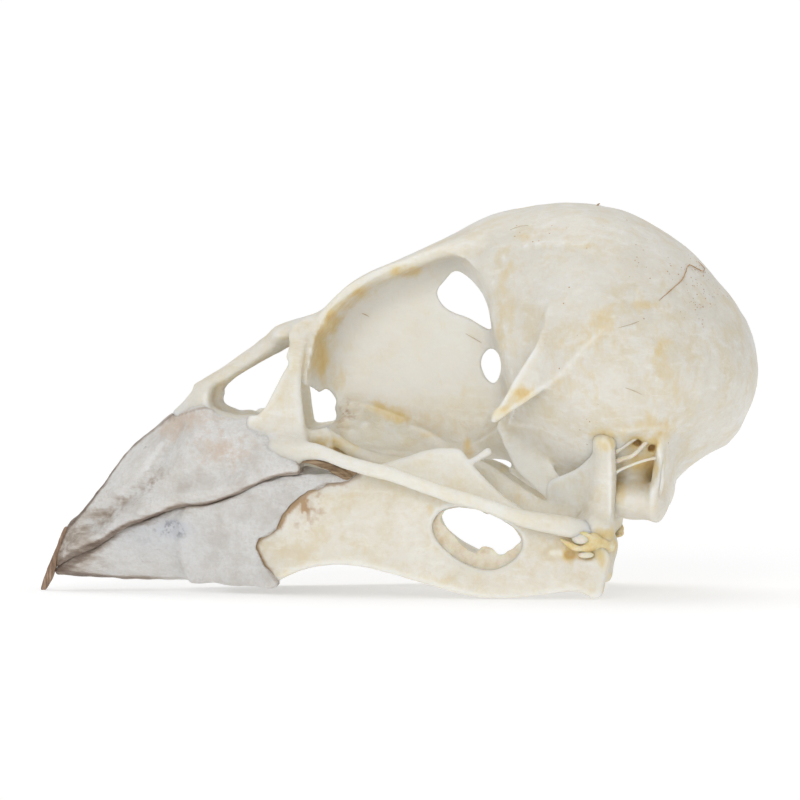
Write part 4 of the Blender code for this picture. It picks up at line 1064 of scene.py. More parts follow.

# Painted glints: broken white spots of painted highlight along the crease. Edges are made whiter,
# and painted light is added as a bright strip at the window's rear rim and as lighter patches in
# the shaded nostril and ear.
painted_glints = bell(line_distance(x, z, CREASE), 0.1) * step_up(-x, -9.5, -5.0) * step_up(
    grain(p, 0.25, 41) + 0.5 * grain(p, 0.1, 42), 0.0, 0.5)
whiter_edges_and_painted_light = 0.7 * step_up(curve, 0.5, 1.6) + 1.4 * painted_glints + patches(p, (
    (0.35, (10.5, -5.5, 5.0), (1.0, 1.3, 0.8)), (1.2, (4.3, -4.0, 12.0), (0.14, 2.2, 0.9)),
    (0.8, (-6.8, -1.0, 8.4), (1.4, 0.8, 0.7))))
store_masks(skull_bone, amber, rust, painted_glow, whiter_edges_and_painted_light)

# %% Masks of the jaw
p = left(corners(jaw_bone))
away = outline_distance(p[:, 0], p[:, 2], LOWER_AREA)
curve = curving(mouth, jaw_field, p, 0.3)
amber = patches(p, (
    (1.4, (8.2, -6.8, 2.3), (1.1, 0.5, 0.45)), (0.8, (8.9, -5.8, 0.3), (0.7, 0.9, 0.35)),
    (0.45, (1.6, -5.4, 0.8), (1.8, 1.0, 0.35)), (0.6, (9.3, -6.0, 1.7), (0.4, 1.0, 0.6)),
    (0.5, (-4.4, -4.4, 0.9), (1.4, 1.0, 0.25)), (0.4, (1.6, -5.6, 3.9), (0.4, 0.6, 0.3)),
    (0.6, (7.75, -6.6, 1.95), (0.3, 0.4, 0.25))))
amber = amber * (0.8 + 0.6 * grain(p, 0.5, 23) + 0.4 * grain(p, 0.2, 24))
amber = amber + 0.3 * step_up(-curve, 0.3, 1.0) * (0.5 + 0.5 * grain(p, 0.7, 29))
spread = patch(p, (-3.9, -4.5, 3.9), (0.8, 2.0, 0.9)) + 0.35 * np.exp(-away / 0.35)
rust = bell(away, 0.1) + spread * (0.35 + 0.8 * step_up(
    grain(p, 0.35, 37) + 0.6 * grain(p, 0.14, 38), -0.3, 0.6))
store_masks(jaw_bone, amber, rust, 0, step_up(curve, 0.5, 1.5))

# %% Masks of the horn
STREAK = [(-10.4, 5.2), (-11.5, 4.4), (-12.9, 3.2)]
HIGHLIGHT_PATH = [(-10.35, 6.5), (-10.75, 6.0), (-11.05, 5.55)]
FAINT_HIGHLIGHT_PATH = [(-11.05, 5.5), (-11.9, 4.3), (-12.7, 3.5)]
for horn, area in ((lower_sheath, LOWER_AREA), (upper_sheath, UPPER_AREA)):
    p = left(corners(horn))
    x, z = p[:, 0], p[:, 2]
    away, over_gape = outline_distance(x, z, area), z - GAPE(x)
    ridge = CULMEN(x) - z if horn is upper_sheath else z - CHIN(x)
    pink = patches(p, ((0.95, (-9.8, -1.5, 7.3), (1.0, 1.2, 0.9)),
                       (0.85, (-7.4, -3.5, 6.4), (1.7, 1.2, 0.9)),
                       (0.85, (-8.7, -2.5, 7.7), (1.3, 1.5, 0.5))))
    # Brown stains at the border, the tip, the ridge, a streak and near the nostril; along the line
    # of the mouth the brown is painted shadow.
    brown = (0.7 * bell(away, 0.08) + 0.9 * bell(over_gape, 0.13) + 0.75 * step_up(-x, 11.9, 14.6)
             + 0.9 * bell(ridge, 0.12) * step_up(-x, 8.0, 11.5)
             + 0.5 * bell(over_gape + 0.2, 0.28) * step_up(-x, 6.0, 13.0)
             + 0.75 * bell(line_distance(x, z, STREAK), 0.4) * (
                 0.6 + 0.3 * grain(p, 0.3, 25) + 0.3 * grain(p, 0.12, 26))
             + 0.35 * patch(p, (-9.9, -1.0, 7.7), (0.8, 1.5, 0.5)))
    blue = patches(p, ((0.5, (-11.0, -2.2, 2.5), (2.6, 1.5, 1.0)),
                       (1.1, (-9.8, -2.8, 2.85), (0.65, 1.0, 0.35))))
    if horn is lower_sheath:
        blue = blue + 0.12
    # Painted highlight: a white line near the ridge, fainter towards the tip.
    painted_highlight = (bell(line_distance(x, z, HIGHLIGHT_PATH), 0.22)
             + 0.5 * bell(line_distance(x, z, FAINT_HIGHLIGHT_PATH), 0.2))
    store_masks(horn, pink, brown, blue, painted_highlight)

# %% Masks of the quadrates
for bone in (quadrate_bones, quadrate_bones_right):
    p = left(corners(bone))
    curve = curving(joint, cheek, p, 0.25)
    amber = patches(p, ((1.1, (8.7, -6.5, 2.8), (0.9, 0.8, 0.35)),
                        (1.2, (9.3, -6.3, 6.9), (0.7, 0.8, 0.4)),
                        (0.9, (9.4, -5.8, 2.8), (0.4, 0.9, 0.5)),
                        (0.45, (5.2, -3.4, 4.1), (1.8, 1.2, 0.5))))
    amber = amber * (0.6 + 0.6 * grain(p, 0.4, 26)) + 0.3 * step_up(-curve, 0.3, 1.0)
    store_masks(bone, amber, 0, 0, step_up(curve, 0.4, 1.4))

# %% [markdown]
# ## Bone
#
# Clean bone is cream, never white, and light goes about a millimetre into it before it comes
# back: subsurface scattering with the largest radius in red. Its gloss is low and uneven. Ochre
# clouds, fine tan grains and white flecks lie over the base colour, and then the masks turn it
# amber or rusty, lighter with painted light where light shines through thin bone and into shaded
# recesses, and whiter on edges and where glints and a lit rim are painted. Pores finer than the
# mesh are bump. All patterns are procedural, on the piece's own coordinates in millimetres, so
# they keep their size and stay put.

# %% Node helpers
class Shader:
    """A material's node tree with short calls to add and link nodes."""

    def __init__(self, name):
        self.material = bpy.data.materials.new(name)
        self.material.use_nodes = True
        self.tree = self.material.node_tree
        self.surface = self.tree.nodes["Principled BSDF"]
        self.place = self.add("ShaderNodeTexCoord").outputs["Object"]

    def add(self, kind, **settings):
        node = self.tree.nodes.new(kind)
        for key, value in settings.items():
            setattr(node, key, value)
        return node

    def link(self, source, target):
        self.tree.links.new(source, target)

    def noise(self, scale, detail=4.0, roughness=0.55, stretch=None):
        """Noise with a scale in waves per millimetre.

        A stretch is a factor on the scale along each axis, and a turn about Y in degrees.
        """
        node = self.add("ShaderNodeTexNoise")
        node.inputs["Scale"].default_value = scale / MM
        node.inputs["Detail"].default_value = detail
        node.inputs["Roughness"].default_value = roughness
        source = self.place
        if stretch:
            mapping = self.add("ShaderNodeMapping")
            mapping.inputs["Rotation"].default_value = (0, math.radians(stretch[3]), 0)
            mapping.inputs["Scale"].default_value = stretch[:3]
            self.link(self.place, mapping.inputs["Vector"])
            source = mapping.outputs["Vector"]
        self.link(source, node.inputs["Vector"])
        return node.outputs["Fac"]

    def ramp(self, source, stops):
        """Colours at given positions of a value, blended between."""
        node = self.add("ShaderNodeValToRGB")
        elements = node.color_ramp.elements
        while len(elements) < len(stops):
            elements.new(0.5)
        for element, (position, colour) in zip(elements, stops):
            element.position = position
            element.color = (*colour, 1.0) if len(colour) == 3 else colour
        self.link(source, node.inputs["Fac"])
        return node.outputs["Color"]

    def levels(self, source, low, high, first=0.0, last=1.0):
        """Greys that go from the first value at low to the last value at high."""
        return self.ramp(source, [(low, (first,) * 3), (high, (last,) * 3)])

    def mix(self, factor, a, b):
        node = self.add("ShaderNodeMix", data_type="RGBA")
        for value, socket in ((factor, node.inputs["Factor"]), (a, node.inputs["A"]),
                              (b, node.inputs["B"])):
            if isinstance(value, bpy.types.NodeSocket):
                self.link(value, socket)
            elif isinstance(value, (int, float)):
                socket.default_value = value
            else:
                socket.default_value = (*value, 1.0)
        return node.outputs["Result"]

    def tint(self, colour, mask, amount, shade):
        """Turns a colour to a shade where a mask is, by at most the amount."""
        return self.mix(self.math("MULTIPLY", mask, amount), colour, shade)

    def math(self, kind, a, b, clamp=False):
        node = self.add("ShaderNodeMath", operation=kind, use_clamp=clamp)
        for value, socket in zip((a, b), node.inputs):
            if isinstance(value, bpy.types.NodeSocket):
                self.link(value, socket)
            else:
                socket.default_value = value
        return node.outputs["Value"]

    def broken(self, mask, noise, strength=0.9, cut=0.35, steep=2.0):
        """A soft mask with a ragged edge: noise decides where it shows.

        The strength is that of the noise, a mask below the cut hardly shows, and a steep edge
        is crisp.
        """
        shifted = self.math("ADD", mask, self.math("MULTIPLY", noise, strength))
        raised = self.math("SUBTRACT", shifted, 0.5 * strength + cut)
        return self.math("MULTIPLY", raised, steep, clamp=True)

    def masks(self):
        """The four masks stored on the piece."""
        node = self.add("ShaderNodeVertexColor", layer_name="stains")
        split = self.add("ShaderNodeSeparateColor")
        self.link(node.outputs["Color"], split.inputs["Color"])
        return (split.outputs["Red"], split.outputs["Green"], split.outputs["Blue"],
                node.outputs["Alpha"])

    def bump(self, heights):
        """Bump from (height, size in millimetres) pairs, one after another."""
        before = None
        for height, distance in heights:
            node = self.add("ShaderNodeBump")
            node.inputs["Distance"].default_value = distance * MM
            self.link(height, node.inputs["Height"])
            if before:
                self.link(before, node.inputs["Normal"])
            before = node.outputs["Normal"]
        self.link(before, self.surface.inputs["Normal"])

    def scattering(self, weight, radius, scale):
        """Light that goes under the surface, with a scale in millimetres."""
        self.surface.inputs["Subsurface Weight"].default_value = weight
        self.surface.inputs["Subsurface Radius"].default_value = radius
        self.surface.inputs["Subsurface Scale"].default_value = scale * MM


# %% Bone material
def bone_material(name, light=1.0):
    bone = Shader(name)
    amber, rust, painted_glow, whiter_edges_and_painted_light = bone.masks()
    colour = bone.ramp(bone.noise(0.45, 6, 0.6), [
        (0.35, (0.715 * light, 0.68 * light, 0.59 * light)),
        (0.65, (0.77 * light, 0.75 * light, 0.69 * light))])
    ochre = bone.levels(bone.noise(0.75, 9, 0.7), 0.49, 0.63)
    colour = bone.tint(colour, ochre, 0.5, (0.68, 0.58, 0.37))
    grains = bone.levels(bone.noise(3.2, 7, 0.7), 0.48, 0.70)
    colour = bone.tint(colour, grains, 0.3, (0.67, 0.57, 0.41))
    flecks = bone.levels(bone.noise(1.6, 6, 0.65, stretch=(0.6, 1.0, 1.8, -30)), 0.52, 0.70)
    colour = bone.tint(colour, flecks, 0.5, (0.84, 0.835, 0.80))
    # Painted light: lighter and less yellow where light shines through thin bone and into shaded
    # recesses.
    colour = bone.tint(colour, painted_glow, 0.75, (0.79, 0.785, 0.755))
    streaks = bone.noise(1.4, 7, 0.68, stretch=(1.8, 1.0, 0.7, 20))
    stained = bone.broken(amber, streaks, 1.3, 0.12, 1.8)
    colour = bone.tint(colour, stained, 0.85, (0.71, 0.555, 0.255))
    deep = bone.broken(amber, streaks, 1.5, 0.75, 2.0)
    colour = bone.tint(colour, deep, 0.75, (0.65, 0.42, 0.12))
    rusty = bone.broken(rust, bone.noise(4.0, 6, 0.7), 0.8, 0.2, 1.3)
    colour = bone.mix(rusty, colour, (0.47, 0.32, 0.18))
    # Whiter on edges, and painted light: glints along the crease, a lit rim and lightened
    # recesses.
    colour = bone.tint(colour, whiter_edges_and_painted_light, 0.6, (0.86, 0.855, 0.82))
    bone.link(colour, bone.surface.inputs["Base Color"])
    gloss = bone.levels(bone.noise(1.1, 5), 0.3, 0.7, 0.28, 0.55)
    bone.link(gloss, bone.surface.inputs["Roughness"])
    bone.surface.inputs["Specular IOR Level"].default_value = 0.5
    bone.scattering(0.75, (1.0, 0.88, 0.68), 0.9)
    bone.bump([(bone.noise(0.9, 6, 0.6), 0.09), (bone.noise(5.0, 6, 0.65), 0.03)])
    return bone.material


BONE = bone_material("ivory_bone")
JAW_BONE = bone_material("pale_jaw_bone", 1.02)
print("bone materials ready")

# %% [markdown]
# ## Horn
#
# The dry sheath is chalky: grey-white, with bluish patches where it has lifted off the bone, a
# pinkish mottling on top, and brown edges where it is thick or broken. Along the line of the mouth
# the brown, darkest at the line itself, is painted shadow, and a white highlight is painted near
# the ridge. It flakes along its length, so its bump is drawn out along the bill. Split horn, dried
# muscle, ligament, film and hair are all fibres, so they share one material with other colours.

# %% Horn material
def horn_material(name):
    horn = Shader(name)
    pink, brown, blue, painted_highlight = horn.masks()
    colour = horn.ramp(horn.noise(0.7, 8, 0.65), [
        (0.34, (0.70, 0.66, 0.615)), (0.50, (0.83, 0.815, 0.785)), (0.66, (0.90, 0.895, 0.88))])
    fine = horn.levels(horn.noise(6.0, 7, 0.75), 0.45, 0.66)
    colour = horn.tint(colour, fine, 0.4, (0.64, 0.57, 0.49))
    colour = horn.tint(colour, blue, 0.75, (0.66, 0.685, 0.73))
    spots = horn.levels(horn.noise(2.4, 4, 0.6), 0.50, 0.58)
    dark = horn.math("MULTIPLY", spots, horn.math("SUBTRACT", blue, 0.5), clamp=True)
    colour = horn.mix(dark, colour, (0.10, 0.11, 0.15))
    blush = horn.broken(pink, horn.noise(2.2, 9, 0.75), 2.6, 0.35, 1.6)
    colour = horn.tint(colour, blush, 0.7, (0.72, 0.57, 0.44))
    along = horn.noise(1.3, 8, 0.7, stretch=(0.6, 1.6, 2.6, 40))
    # Brown stains, with painted shadow along the line of the mouth, darkest at that line.
    browned = horn.broken(brown, along, 1.8, 0.25, 1.7)
    colour = horn.tint(colour, browned, 0.72, (0.37, 0.27, 0.185))
    darkest = horn.broken(brown, along, 1.0, 0.7, 2.5)
    colour = horn.tint(colour, darkest, 0.8, (0.11, 0.06, 0.035))
    # Painted highlight: near-white where the highlight mask is.
    highlighted = horn.broken(painted_highlight, horn.noise(4.0, 7, 0.75), 1.6, 0.45, 1.3)
    colour = horn.mix(highlighted, colour, (0.95, 0.945, 0.93))
    horn.link(colour, horn.surface.inputs["Base Color"])
    gloss = horn.levels(horn.noise(1.1, 5), 0.3, 0.7, 0.25, 0.55)
    horn.link(gloss, horn.surface.inputs["Roughness"])
    horn.scattering(0.3, (1.0, 0.85, 0.7), 0.4)
    flakes = horn.noise(1.3, 8, 0.7, stretch=(0.5, 1.4, 2.2, 40))
    horn.bump([(flakes, 0.24), (horn.noise(6.0, 6, 0.7), 0.06)])
    return horn.material


# %% Fibrous materials
def fibrous_material(name, colours, scale, stretch, scatter=0.0):
    """Darker and lighter fibres side by side, in three colours from dark to light.

    The scale and stretch are those of the noise, and scatter says how deep light goes in.
    """
    tissue = Shader(name)
    fibres = tissue.noise(scale, 7, 0.65, stretch=stretch)
    colour = tissue.ramp(fibres, list(zip((0.32, 0.52, 0.70), colours)))
    tissue.link(colour, tissue.surface.inputs["Base Color"])
    gloss = tissue.levels(fibres, 0.3, 0.7, 0.6, 0.35)
    tissue.link(gloss, tissue.surface.inputs["Roughness"])
    if scatter:
        tissue.scattering(0.6, (1.0, 0.6, 0.25), scatter)
    tissue.bump([(fibres, 0.06)])
    return tissue.material


HORN = horn_material("flaking_horn")
SPLIT_HORN = fibrous_material("split_brown_horn", (
    (0.10, 0.055, 0.03), (0.30, 0.19, 0.12), (0.50, 0.38, 0.28)), 2.2, (4.0, 3.0, 0.4, -25))
DRY_MUSCLE = fibrous_material("dried_muscle", (
    (0.10, 0.06, 0.03), (0.30, 0.20, 0.11), (0.48, 0.36, 0.24)), 1.6, (0.5, 1.0, 4.0, -22))
LIGAMENT = fibrous_material("amber_ligament", (
    (0.66, 0.48, 0.17), (0.76, 0.63, 0.35), (0.82, 0.78, 0.67)), 1.6, (1.0, 1.0, 1.0, 0), 0.3)
CARTILAGE = fibrous_material("white_cartilage", (
    (0.70, 0.62, 0.46), (0.78, 0.74, 0.64), (0.85, 0.83, 0.77)), 1.5, (1.0, 1.0, 1.0, 0), 0.3)
FILM = fibrous_material("brownish_film", (
    (0.62, 0.54, 0.39), (0.72, 0.67, 0.56), (0.79, 0.76, 0.68)), 1.8, (1.0, 1.0, 1.0, 0), 0.4)
THREAD = fibrous_material("red_brown_thread", (
    (0.38, 0.19, 0.07), (0.50, 0.29, 0.12), (0.60, 0.41, 0.21)), 3.0, (1.0, 1.0, 1.0, 0))
HAIR = fibrous_material("tan_hair", (
    (0.38, 0.26, 0.14), (0.50, 0.38, 0.22), (0.60, 0.50, 0.33)), 3.0, (1.0, 1.0, 1.0, 0))
STRUT = fibrous_material("white_bone_struts", (
    (0.68, 0.60, 0.45), (0.76, 0.73, 0.66), (0.84, 0.83, 0.80)), 1.2, (1.0, 1.0, 1.0, 0), 0.12)

# %% What each piece is made of
for piece, material in ((skull_bone, BONE), (quadrate_bones, BONE), (quadrate_bones_right, BONE),
                        (jaw_bone, JAW_BONE), (upper_sheath, HORN), (lower_sheath, HORN),
                        (splinter, SPLIT_HORN), (gape_tissue, DRY_MUSCLE),
                        (gape_tissue_right, DRY_MUSCLE), (ligament, LIGAMENT),
                        (ligament_right, LIGAMENT), (cartilage, CARTILAGE),
                        (cartilage_right, CARTILAGE), (window_film, FILM)):
    piece.data.materials.append(material)
    print(piece.name, "is", material.name)

# %% [markdown]
# ## Struts and threads
#
# Thin round things that follow a path are work for Geometry Nodes: the mesh holds only the path,
# with a thickness at each point, and the node tree makes the tube. Bone struts cross the ear, and
# one brown thread and a few hairs have dried on to the dome. The hairs' paths are drawn in the
# side view, and each point is then laid on the skull's own skin.

# %% Tubes along paths
def new_tree(name, inputs, output):
    """A node tree with named inputs of given kinds, and one output."""
    tree = bpy.data.node_groups.new(name, "GeometryNodeTree")
    for label, kind in inputs.items():
        tree.interface.new_socket(label, in_out="INPUT", socket_type="NodeSocket" + kind)
    tree.interface.new_socket(output, in_out="OUTPUT", socket_type="NodeSocketGeometry")
    return tree


def tube_tree(name, material):
    tree = new_tree(name, {"Paths": "Geometry", "Sides": "Int"}, "Tubes")
    add = tree.nodes.new
    start, end = add("NodeGroupInput"), add("NodeGroupOutput")
    curve, circle, sweep = (add("GeometryNode" + kind) for kind in (
        "MeshToCurve", "CurvePrimitiveCircle", "CurveToMesh"))
    thickness = add("GeometryNodeInputNamedAttribute")
    thickness.data_type = "FLOAT"
    thickness.inputs["Name"].default_value = "thickness"
    circle.inputs["Radius"].default_value = 1.0
    sweep.inputs["Fill Caps"].default_value = True
    smooth, real, finish = (add("GeometryNode" + kind) for kind in (
        "SetShadeSmooth", "RealizeInstances", "SetMaterial"))
    finish.inputs["Material"].default_value = material
    for a, b in ((start.outputs["Paths"], curve.inputs["Mesh"]),
                 (start.outputs["Sides"], circle.inputs["Resolution"]),
                 (curve.outputs["Curve"], sweep.inputs["Curve"]),
                 (circle.outputs["Curve"], sweep.inputs["Profile Curve"]),
                 (thickness.outputs["Attribute"], sweep.inputs["Scale"]),
                 (sweep.outputs["Mesh"], smooth.inputs["Geometry"]),
                 (smooth.outputs["Geometry"], real.inputs["Geometry"]),
                 (real.outputs["Geometry"], finish.inputs["Geometry"]),
                 (finish.outputs["Geometry"], end.inputs["Tubes"])):
        tree.links.new(a, b)
    return tree


def run_tree(obj, tree, **values):
    """Runs a node tree on the object's mesh and keeps the result."""
    modifier = obj.modifiers.new(tree.name, "NODES")
    modifier.node_group = tree
    for item in tree.interface.items_tree:
        if item.in_out == "INPUT" and item.name in values:
            modifier[item.identifier] = values[item.name]
    settled(obj)
    print(f"{obj.name}: {len(obj.data.vertices)} points")


def tubes(name, paths, material, sides):
    """Tubes in millimetres; each path is a list of points and of radii along them."""
    points, edges, sizes = [], [], []
    for line, radii in paths:
        smooth = smooth_path(line, 8)
        edges += [(len(points) + k, len(points) + k + 1) for k in range(len(smooth) - 1)]
        points += list(smooth)
        sizes += list(spread_out(radii, len(smooth)))
    mesh = bpy.data.meshes.new(name)
    mesh.from_pydata(((np.array(points) - (MIDDLE_X, 0, 0)) * MM).tolist(), edges, [])
    attribute = mesh.attributes.new("thickness", "FLOAT", "POINT")
    attribute.data.foreach_set("value", np.array(sizes, np.float32) * MM)
    obj = add_object(name, mesh)
    run_tree(obj, tube_tree(name + "_tree", material), Sides=sides)
    return obj


def both_sides(paths):
    """The paths with their mirror images."""
    return paths + [([(x, -y, z) for x, y, z in line], radii) for line, radii in paths]


# %% Struts across the ear
ear_struts = tubes("ear_struts", both_sides([
    ([(10.95, -5.9, 7.35), (10.83, -6.1, 7.23), (10.3, -6.1, 6.85), (9.82, -5.95, 6.49),
      (9.6, -5.7, 6.3)], [0.14, 0.13, 0.11, 0.13, 0.15]),
    ([(11.65, -5.8, 7.4), (11.4, -6.1, 7.15), (11.05, -6.15, 6.84), (10.52, -6.15, 6.31),
      (10.09, -6.1, 6.14), (9.6, -5.8, 5.95)], [0.15, 0.13, 0.1, 0.09, 0.1, 0.12]),
    ([(11.75, -5.9, 6.2), (11.4, -6.1, 6.16), (10.96, -6.15, 6.05), (10.4, -6.1, 5.85),
      (9.82, -6.0, 5.57), (9.48, -5.75, 5.18)], [0.09, 0.08, 0.06, 0.06, 0.07, 0.08]),
    ([(11.5, -5.9, 7.45), (11.74, -6.1, 7.0), (11.8, -6.15, 6.0), (11.7, -6.1, 4.9),
      (11.4, -5.7, 4.1), (11.0, -5.2, 3.75)], [0.16, 0.12, 0.1, 0.11, 0.12, 0.1]),
]), STRUT, 10)

# %% Threads and hairs, laid on the bone
def on_the_skull(line, lift=0.03):
    """Points of the side view put on the left side of the skull, a little off its skin."""
    out = []
    ys = np.arange(-8.0, 0.0, 0.02)
    for x, z in line:
        inwards = np.stack([np.full_like(ys, x), ys, np.full_like(ys, z)], axis=1)
        near = sample(skull, (inwards - head.low) / head.step) < lift
        out.append((x, ys[np.argmax(near)] if near.any() else -0.2, z))
    return out


THREADS = [([(11.63, 13.05), (12.14, 13.49), (12.58, 13.89), (12.72, 14.19), (12.8, 14.44),
             (12.92, 14.48), (13.16, 14.34), (13.42, 14.19), (13.5, 14.26), (13.38, 14.42),
             (13.22, 14.58)],
            [0.012, 0.022, 0.025, 0.024, 0.022, 0.022, 0.022, 0.02, 0.02, 0.018, 0.01])]
HAIRS = [([(-1.6, 12.25), (-1.45, 12.18), (-1.3, 12.1)], [0.008, 0.02, 0.008]),
         ([(2.95, 11.35), (3.3, 11.15), (3.65, 10.95)], [0.008, 0.02, 0.01]),
         ([(11.4, 12.45), (10.6, 12.1), (9.9, 11.9)], [0.008, 0.014, 0.008]),
         ([(5.0, 16.0), (5.4, 16.15), (5.8, 16.2)], [0.008, 0.012, 0.008]),
         ([(10.2, 9.3), (10.6, 9.15), (10.9, 9.0)], [0.008, 0.014, 0.008])]
CROWN_HAIR = [([(8.72, -0.1, 16.95), (8.78, -0.1, 17.04), (8.86, -0.1, 17.08)],
               [0.06, 0.05, 0.02])]
thread = tubes("thread", [(on_the_skull(line), radii) for line, radii in THREADS], THREAD, 6)
hairs = tubes("hairs", [(on_the_skull(line), radii) for line, radii in HAIRS] + CROWN_HAIR,
              HAIR, 6)

# %% [markdown]
# ## Specks
#
# Rusty specks of dirt lie on the dome, most of them in a few patches. Nobody would place them one
# by one: points are scattered over a copy of the skull, thickest where a mask allows them, with a
# fixed seed, and a flat grain sits on each.

# %% Specks scattered by Geometry Nodes
def speck_tree(name, material):
    tree = new_tree(name, {"Skull": "Geometry", "Most per square metre": "Float", "Seed": "Int"},
                    "Specks")
    add = tree.nodes.new
    start, end = add("NodeGroupInput"), add("NodeGroupOutput")
    scatter, put, grain_ball, real, finish, mask = (add("GeometryNode" + kind) for kind in (
        "DistributePointsOnFaces", "InstanceOnPoints", "MeshIcoSphere", "RealizeInstances",
        "SetMaterial", "InputNamedAttribute"))
    scatter.distribute_method = "RANDOM"
    mask.data_type = "FLOAT"
    mask.inputs["Name"].default_value = "speckled"
    many = add("ShaderNodeMath")
    many.operation = "MULTIPLY"
    size = add("FunctionNodeRandomValue")
    size.data_type = "FLOAT_VECTOR"
    size.inputs["Min"].default_value = (0.25, 0.25, 0.12)
    size.inputs["Max"].default_value = (1.3, 0.9, 0.3)
    grain_ball.inputs["Radius"].default_value = 0.042 * MM
    grain_ball.inputs["Subdivisions"].default_value = 2
    finish.inputs["Material"].default_value = material
    for a, b in ((start.outputs["Skull"], scatter.inputs["Mesh"]),
                 (mask.outputs["Attribute"], many.inputs[0]),
                 (start.outputs["Most per square metre"], many.inputs[1]),
                 (many.outputs[0], scatter.inputs["Density"]),
                 (start.outputs["Seed"], scatter.inputs["Seed"]),
                 (start.outputs["Seed"], size.inputs["Seed"]),
                 (scatter.outputs["Points"], put.inputs["Points"]),
                 (scatter.outputs["Rotation"], put.inputs["Rotation"]),
                 (size.outputs[0], put.inputs["Scale"]),
                 (grain_ball.outputs["Mesh"], put.inputs["Instance"]),
                 (put.outputs["Instances"], real.inputs["Geometry"]),
                 (real.outputs["Geometry"], finish.inputs["Geometry"]),
                 (finish.outputs["Geometry"], end.inputs["Specks"])):
        tree.links.new(a, b)
    return tree


specks = add_object("specks", skull_bone.data.copy())
p = corners(specks)
speckled = sum(share * patch(p, centre, radii) for share, centre, radii in (
    (1.0, (13.3, -4.0, 13.4), (0.9, 2.5, 1.0)), (0.5, (5.2, -3.5, 15.8), (0.7, 1.5, 0.3)),
    (0.3, (11.0, -5.0, 14.3), (0.8, 2.0, 0.8)), (0.04, (9.5, -6.0, 11.0), (3.5, 2.5, 3.0)),
    (0.05, (8.6, -4.5, 16.0), (3.0, 2.0, 0.8)), (0.3, (13.0, 4.5, 13.0), (1.2, 2.5, 1.5))))
spot_mask = specks.data.attributes.new("speckled", "FLOAT", "POINT")
spot_mask.data.foreach_set("value", speckled.astype(np.float32))
run_tree(specks, speck_tree("speck_tree", THREAD), **{"Most per square metre": 1.5e7, "Seed": 11})

# %% [markdown]
# ## Pieces on the frame
#
# Each piece rides on the one body of this still model and stands for the CAD nodes that it was
# made from, so those are not shown twice.

# %% Riding and replacing
for piece, slot, nodes in (
        (skull_bone, "bone", ("braincase", "frontal_roof", "interorbital_septum",
                              "ectethmoid_wall", "nasal_bones", "jugal_bar_left",
                              "jugal_bar_right", "palatine_left", "palatine_right")),
        (jaw_bone, "bone", ("mandible_ramus_left", "mandible_ramus_right")),
        (quadrate_bones, "bone", ("quadrate_left", "pterygoid_left")),
        (quadrate_bones_right, "bone", ("quadrate_right", "pterygoid_right")),
        (upper_sheath, "horn", ("upper_horn_sheath",)),
        (lower_sheath, "horn", ("lower_horn_sheath",)),
        (splinter, "brown_horn", ("bill_tip_splinter",)),
        (gape_tissue, "brown_horn", ()), (gape_tissue_right, "brown_horn", ()),
        (ligament, "thin_bone", ()), (ligament_right, "thin_bone", ()),
        (cartilage, "bone", ()), (cartilage_right, "bone", ()), (ear_struts, "bone", ()),
        (window_film, "thin_bone", ()), (thread, "brown_horn", ()), (hairs, "brown_horn", ()),
        (specks, "brown_horn", ())):
    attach(piece, "root")
    if nodes:
        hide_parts(*nodes)

# %% [markdown]
# ## Table, light and camera
#
# The photograph is taken in a light tent, so light comes from all sides and shadows are soft. Here
# the world is white, two far lights stand for the tent's brighter sides, one in front and one
# above from behind, and the paper under the skull glows a little, as thin paper on a lit table
# does. The camera is a long lens, 0.6 m away, 2.5 degrees above the table and 2.6 degrees off
# square.

# %% Studio helpers
TARGET = Vector((0.07, 0.0, 8.41)) * MM
AZIMUTH, ELEVATION, DISTANCE, FRAME_WIDTH = 2.6, 2.5, 0.6, 0.03524
PAPER_HALF, PAPER_GLOW, WORLD_LIGHT = 6.0, 0.46, 0.60
SENSOR = 36.0


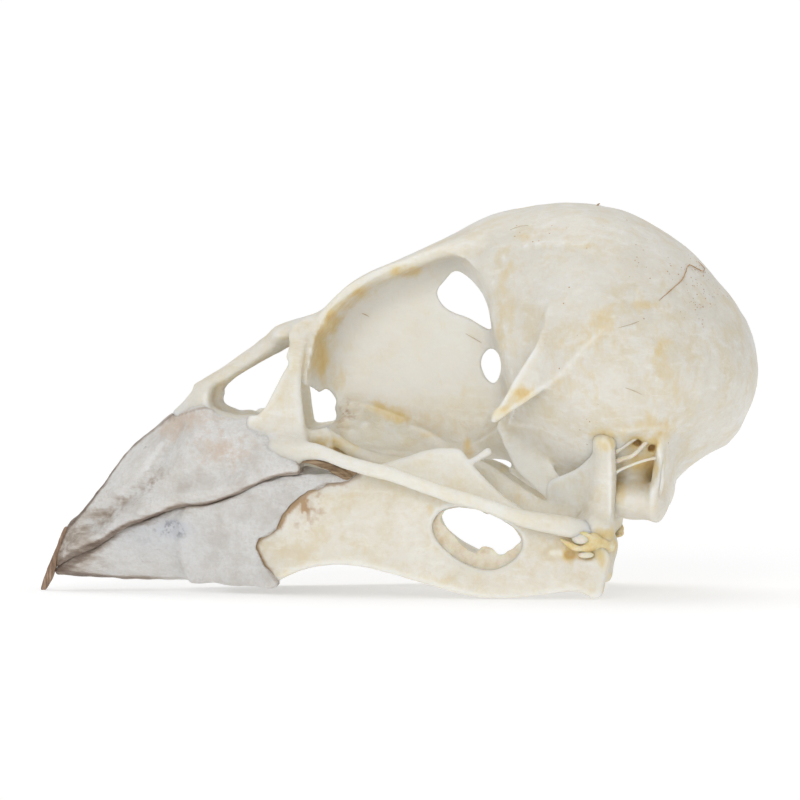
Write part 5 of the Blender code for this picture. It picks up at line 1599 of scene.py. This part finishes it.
def way_to(azimuth, elevation):
    """The direction of a place seen from the skull; azimuth 0 is square on to its left side."""
    turn, lift = math.radians(azimuth), math.radians(elevation)
    return Vector((math.sin(turn) * math.cos(lift), -math.cos(turn) * math.cos(lift),
                   math.sin(lift)))


def put_facing(obj, way, place):
    """Puts a light or a camera at a place, so that it looks back along the way to it."""
    obj.location = place
    obj.rotation_euler = (-way).to_track_quat("-Z", "Y").to_euler()


def studio_plane(name, half):
    points = half / MM * np.array([(-1, -1, 0), (1, -1, 0), (1, 1, 0), (-1, 1, 0)])
    plane = new_mesh_object(name, points + (MIDDLE_X, 0, 0), np.array([[0, 1, 2, 3]]))
    paper = Shader(name + "_paper")
    tone = paper.levels(paper.noise(0.02, 3), 0.3, 0.7, 0.595, 0.605)
    paper.link(tone, paper.surface.inputs["Base Color"])
    paper.surface.inputs["Roughness"].default_value = 0.9
    paper.surface.inputs["Emission Color"].default_value = (1, 1, 1, 1)
    paper.surface.inputs["Emission Strength"].default_value = PAPER_GLOW
    plane.data.materials.append(paper.material)
    return plane


def far_light(name, azimuth, elevation, strength, width):
    """A wide, even light from far away, so that it is as strong all over the table."""
    data = bpy.data.lights.new(name, "SUN")
    data.energy, data.angle = strength, math.radians(width)
    way = way_to(azimuth, elevation)
    put_facing(add_object(name, data), way, way)


# %% Light and camera
studio_plane("table", PAPER_HALF)
far_light("tent_front", -8, 22, 0.78, 35)
far_light("tent_top", 195, 66, 0.7, 45)

world = bpy.data.worlds.new("light_tent")
world.use_nodes = True
world.node_tree.nodes["Background"].inputs["Color"].default_value = (1, 1, 1, 1)
world.node_tree.nodes["Background"].inputs["Strength"].default_value = WORLD_LIGHT
bpy.context.scene.world = world
bpy.context.scene.view_settings.view_transform = "Standard"

camera_data = bpy.data.cameras.new("long_lens")
camera_data.sensor_width = SENSOR
camera_data.lens = SENSOR * DISTANCE / FRAME_WIDTH
camera_data.clip_start, camera_data.clip_end = 0.01, 50.0
camera = add_object("camera", camera_data)
direction = way_to(AZIMUTH, ELEVATION)
put_facing(camera, direction, TARGET + direction * DISTANCE)
bpy.context.scene.camera = camera
print("camera at", [round(v, 4) for v in camera.location])
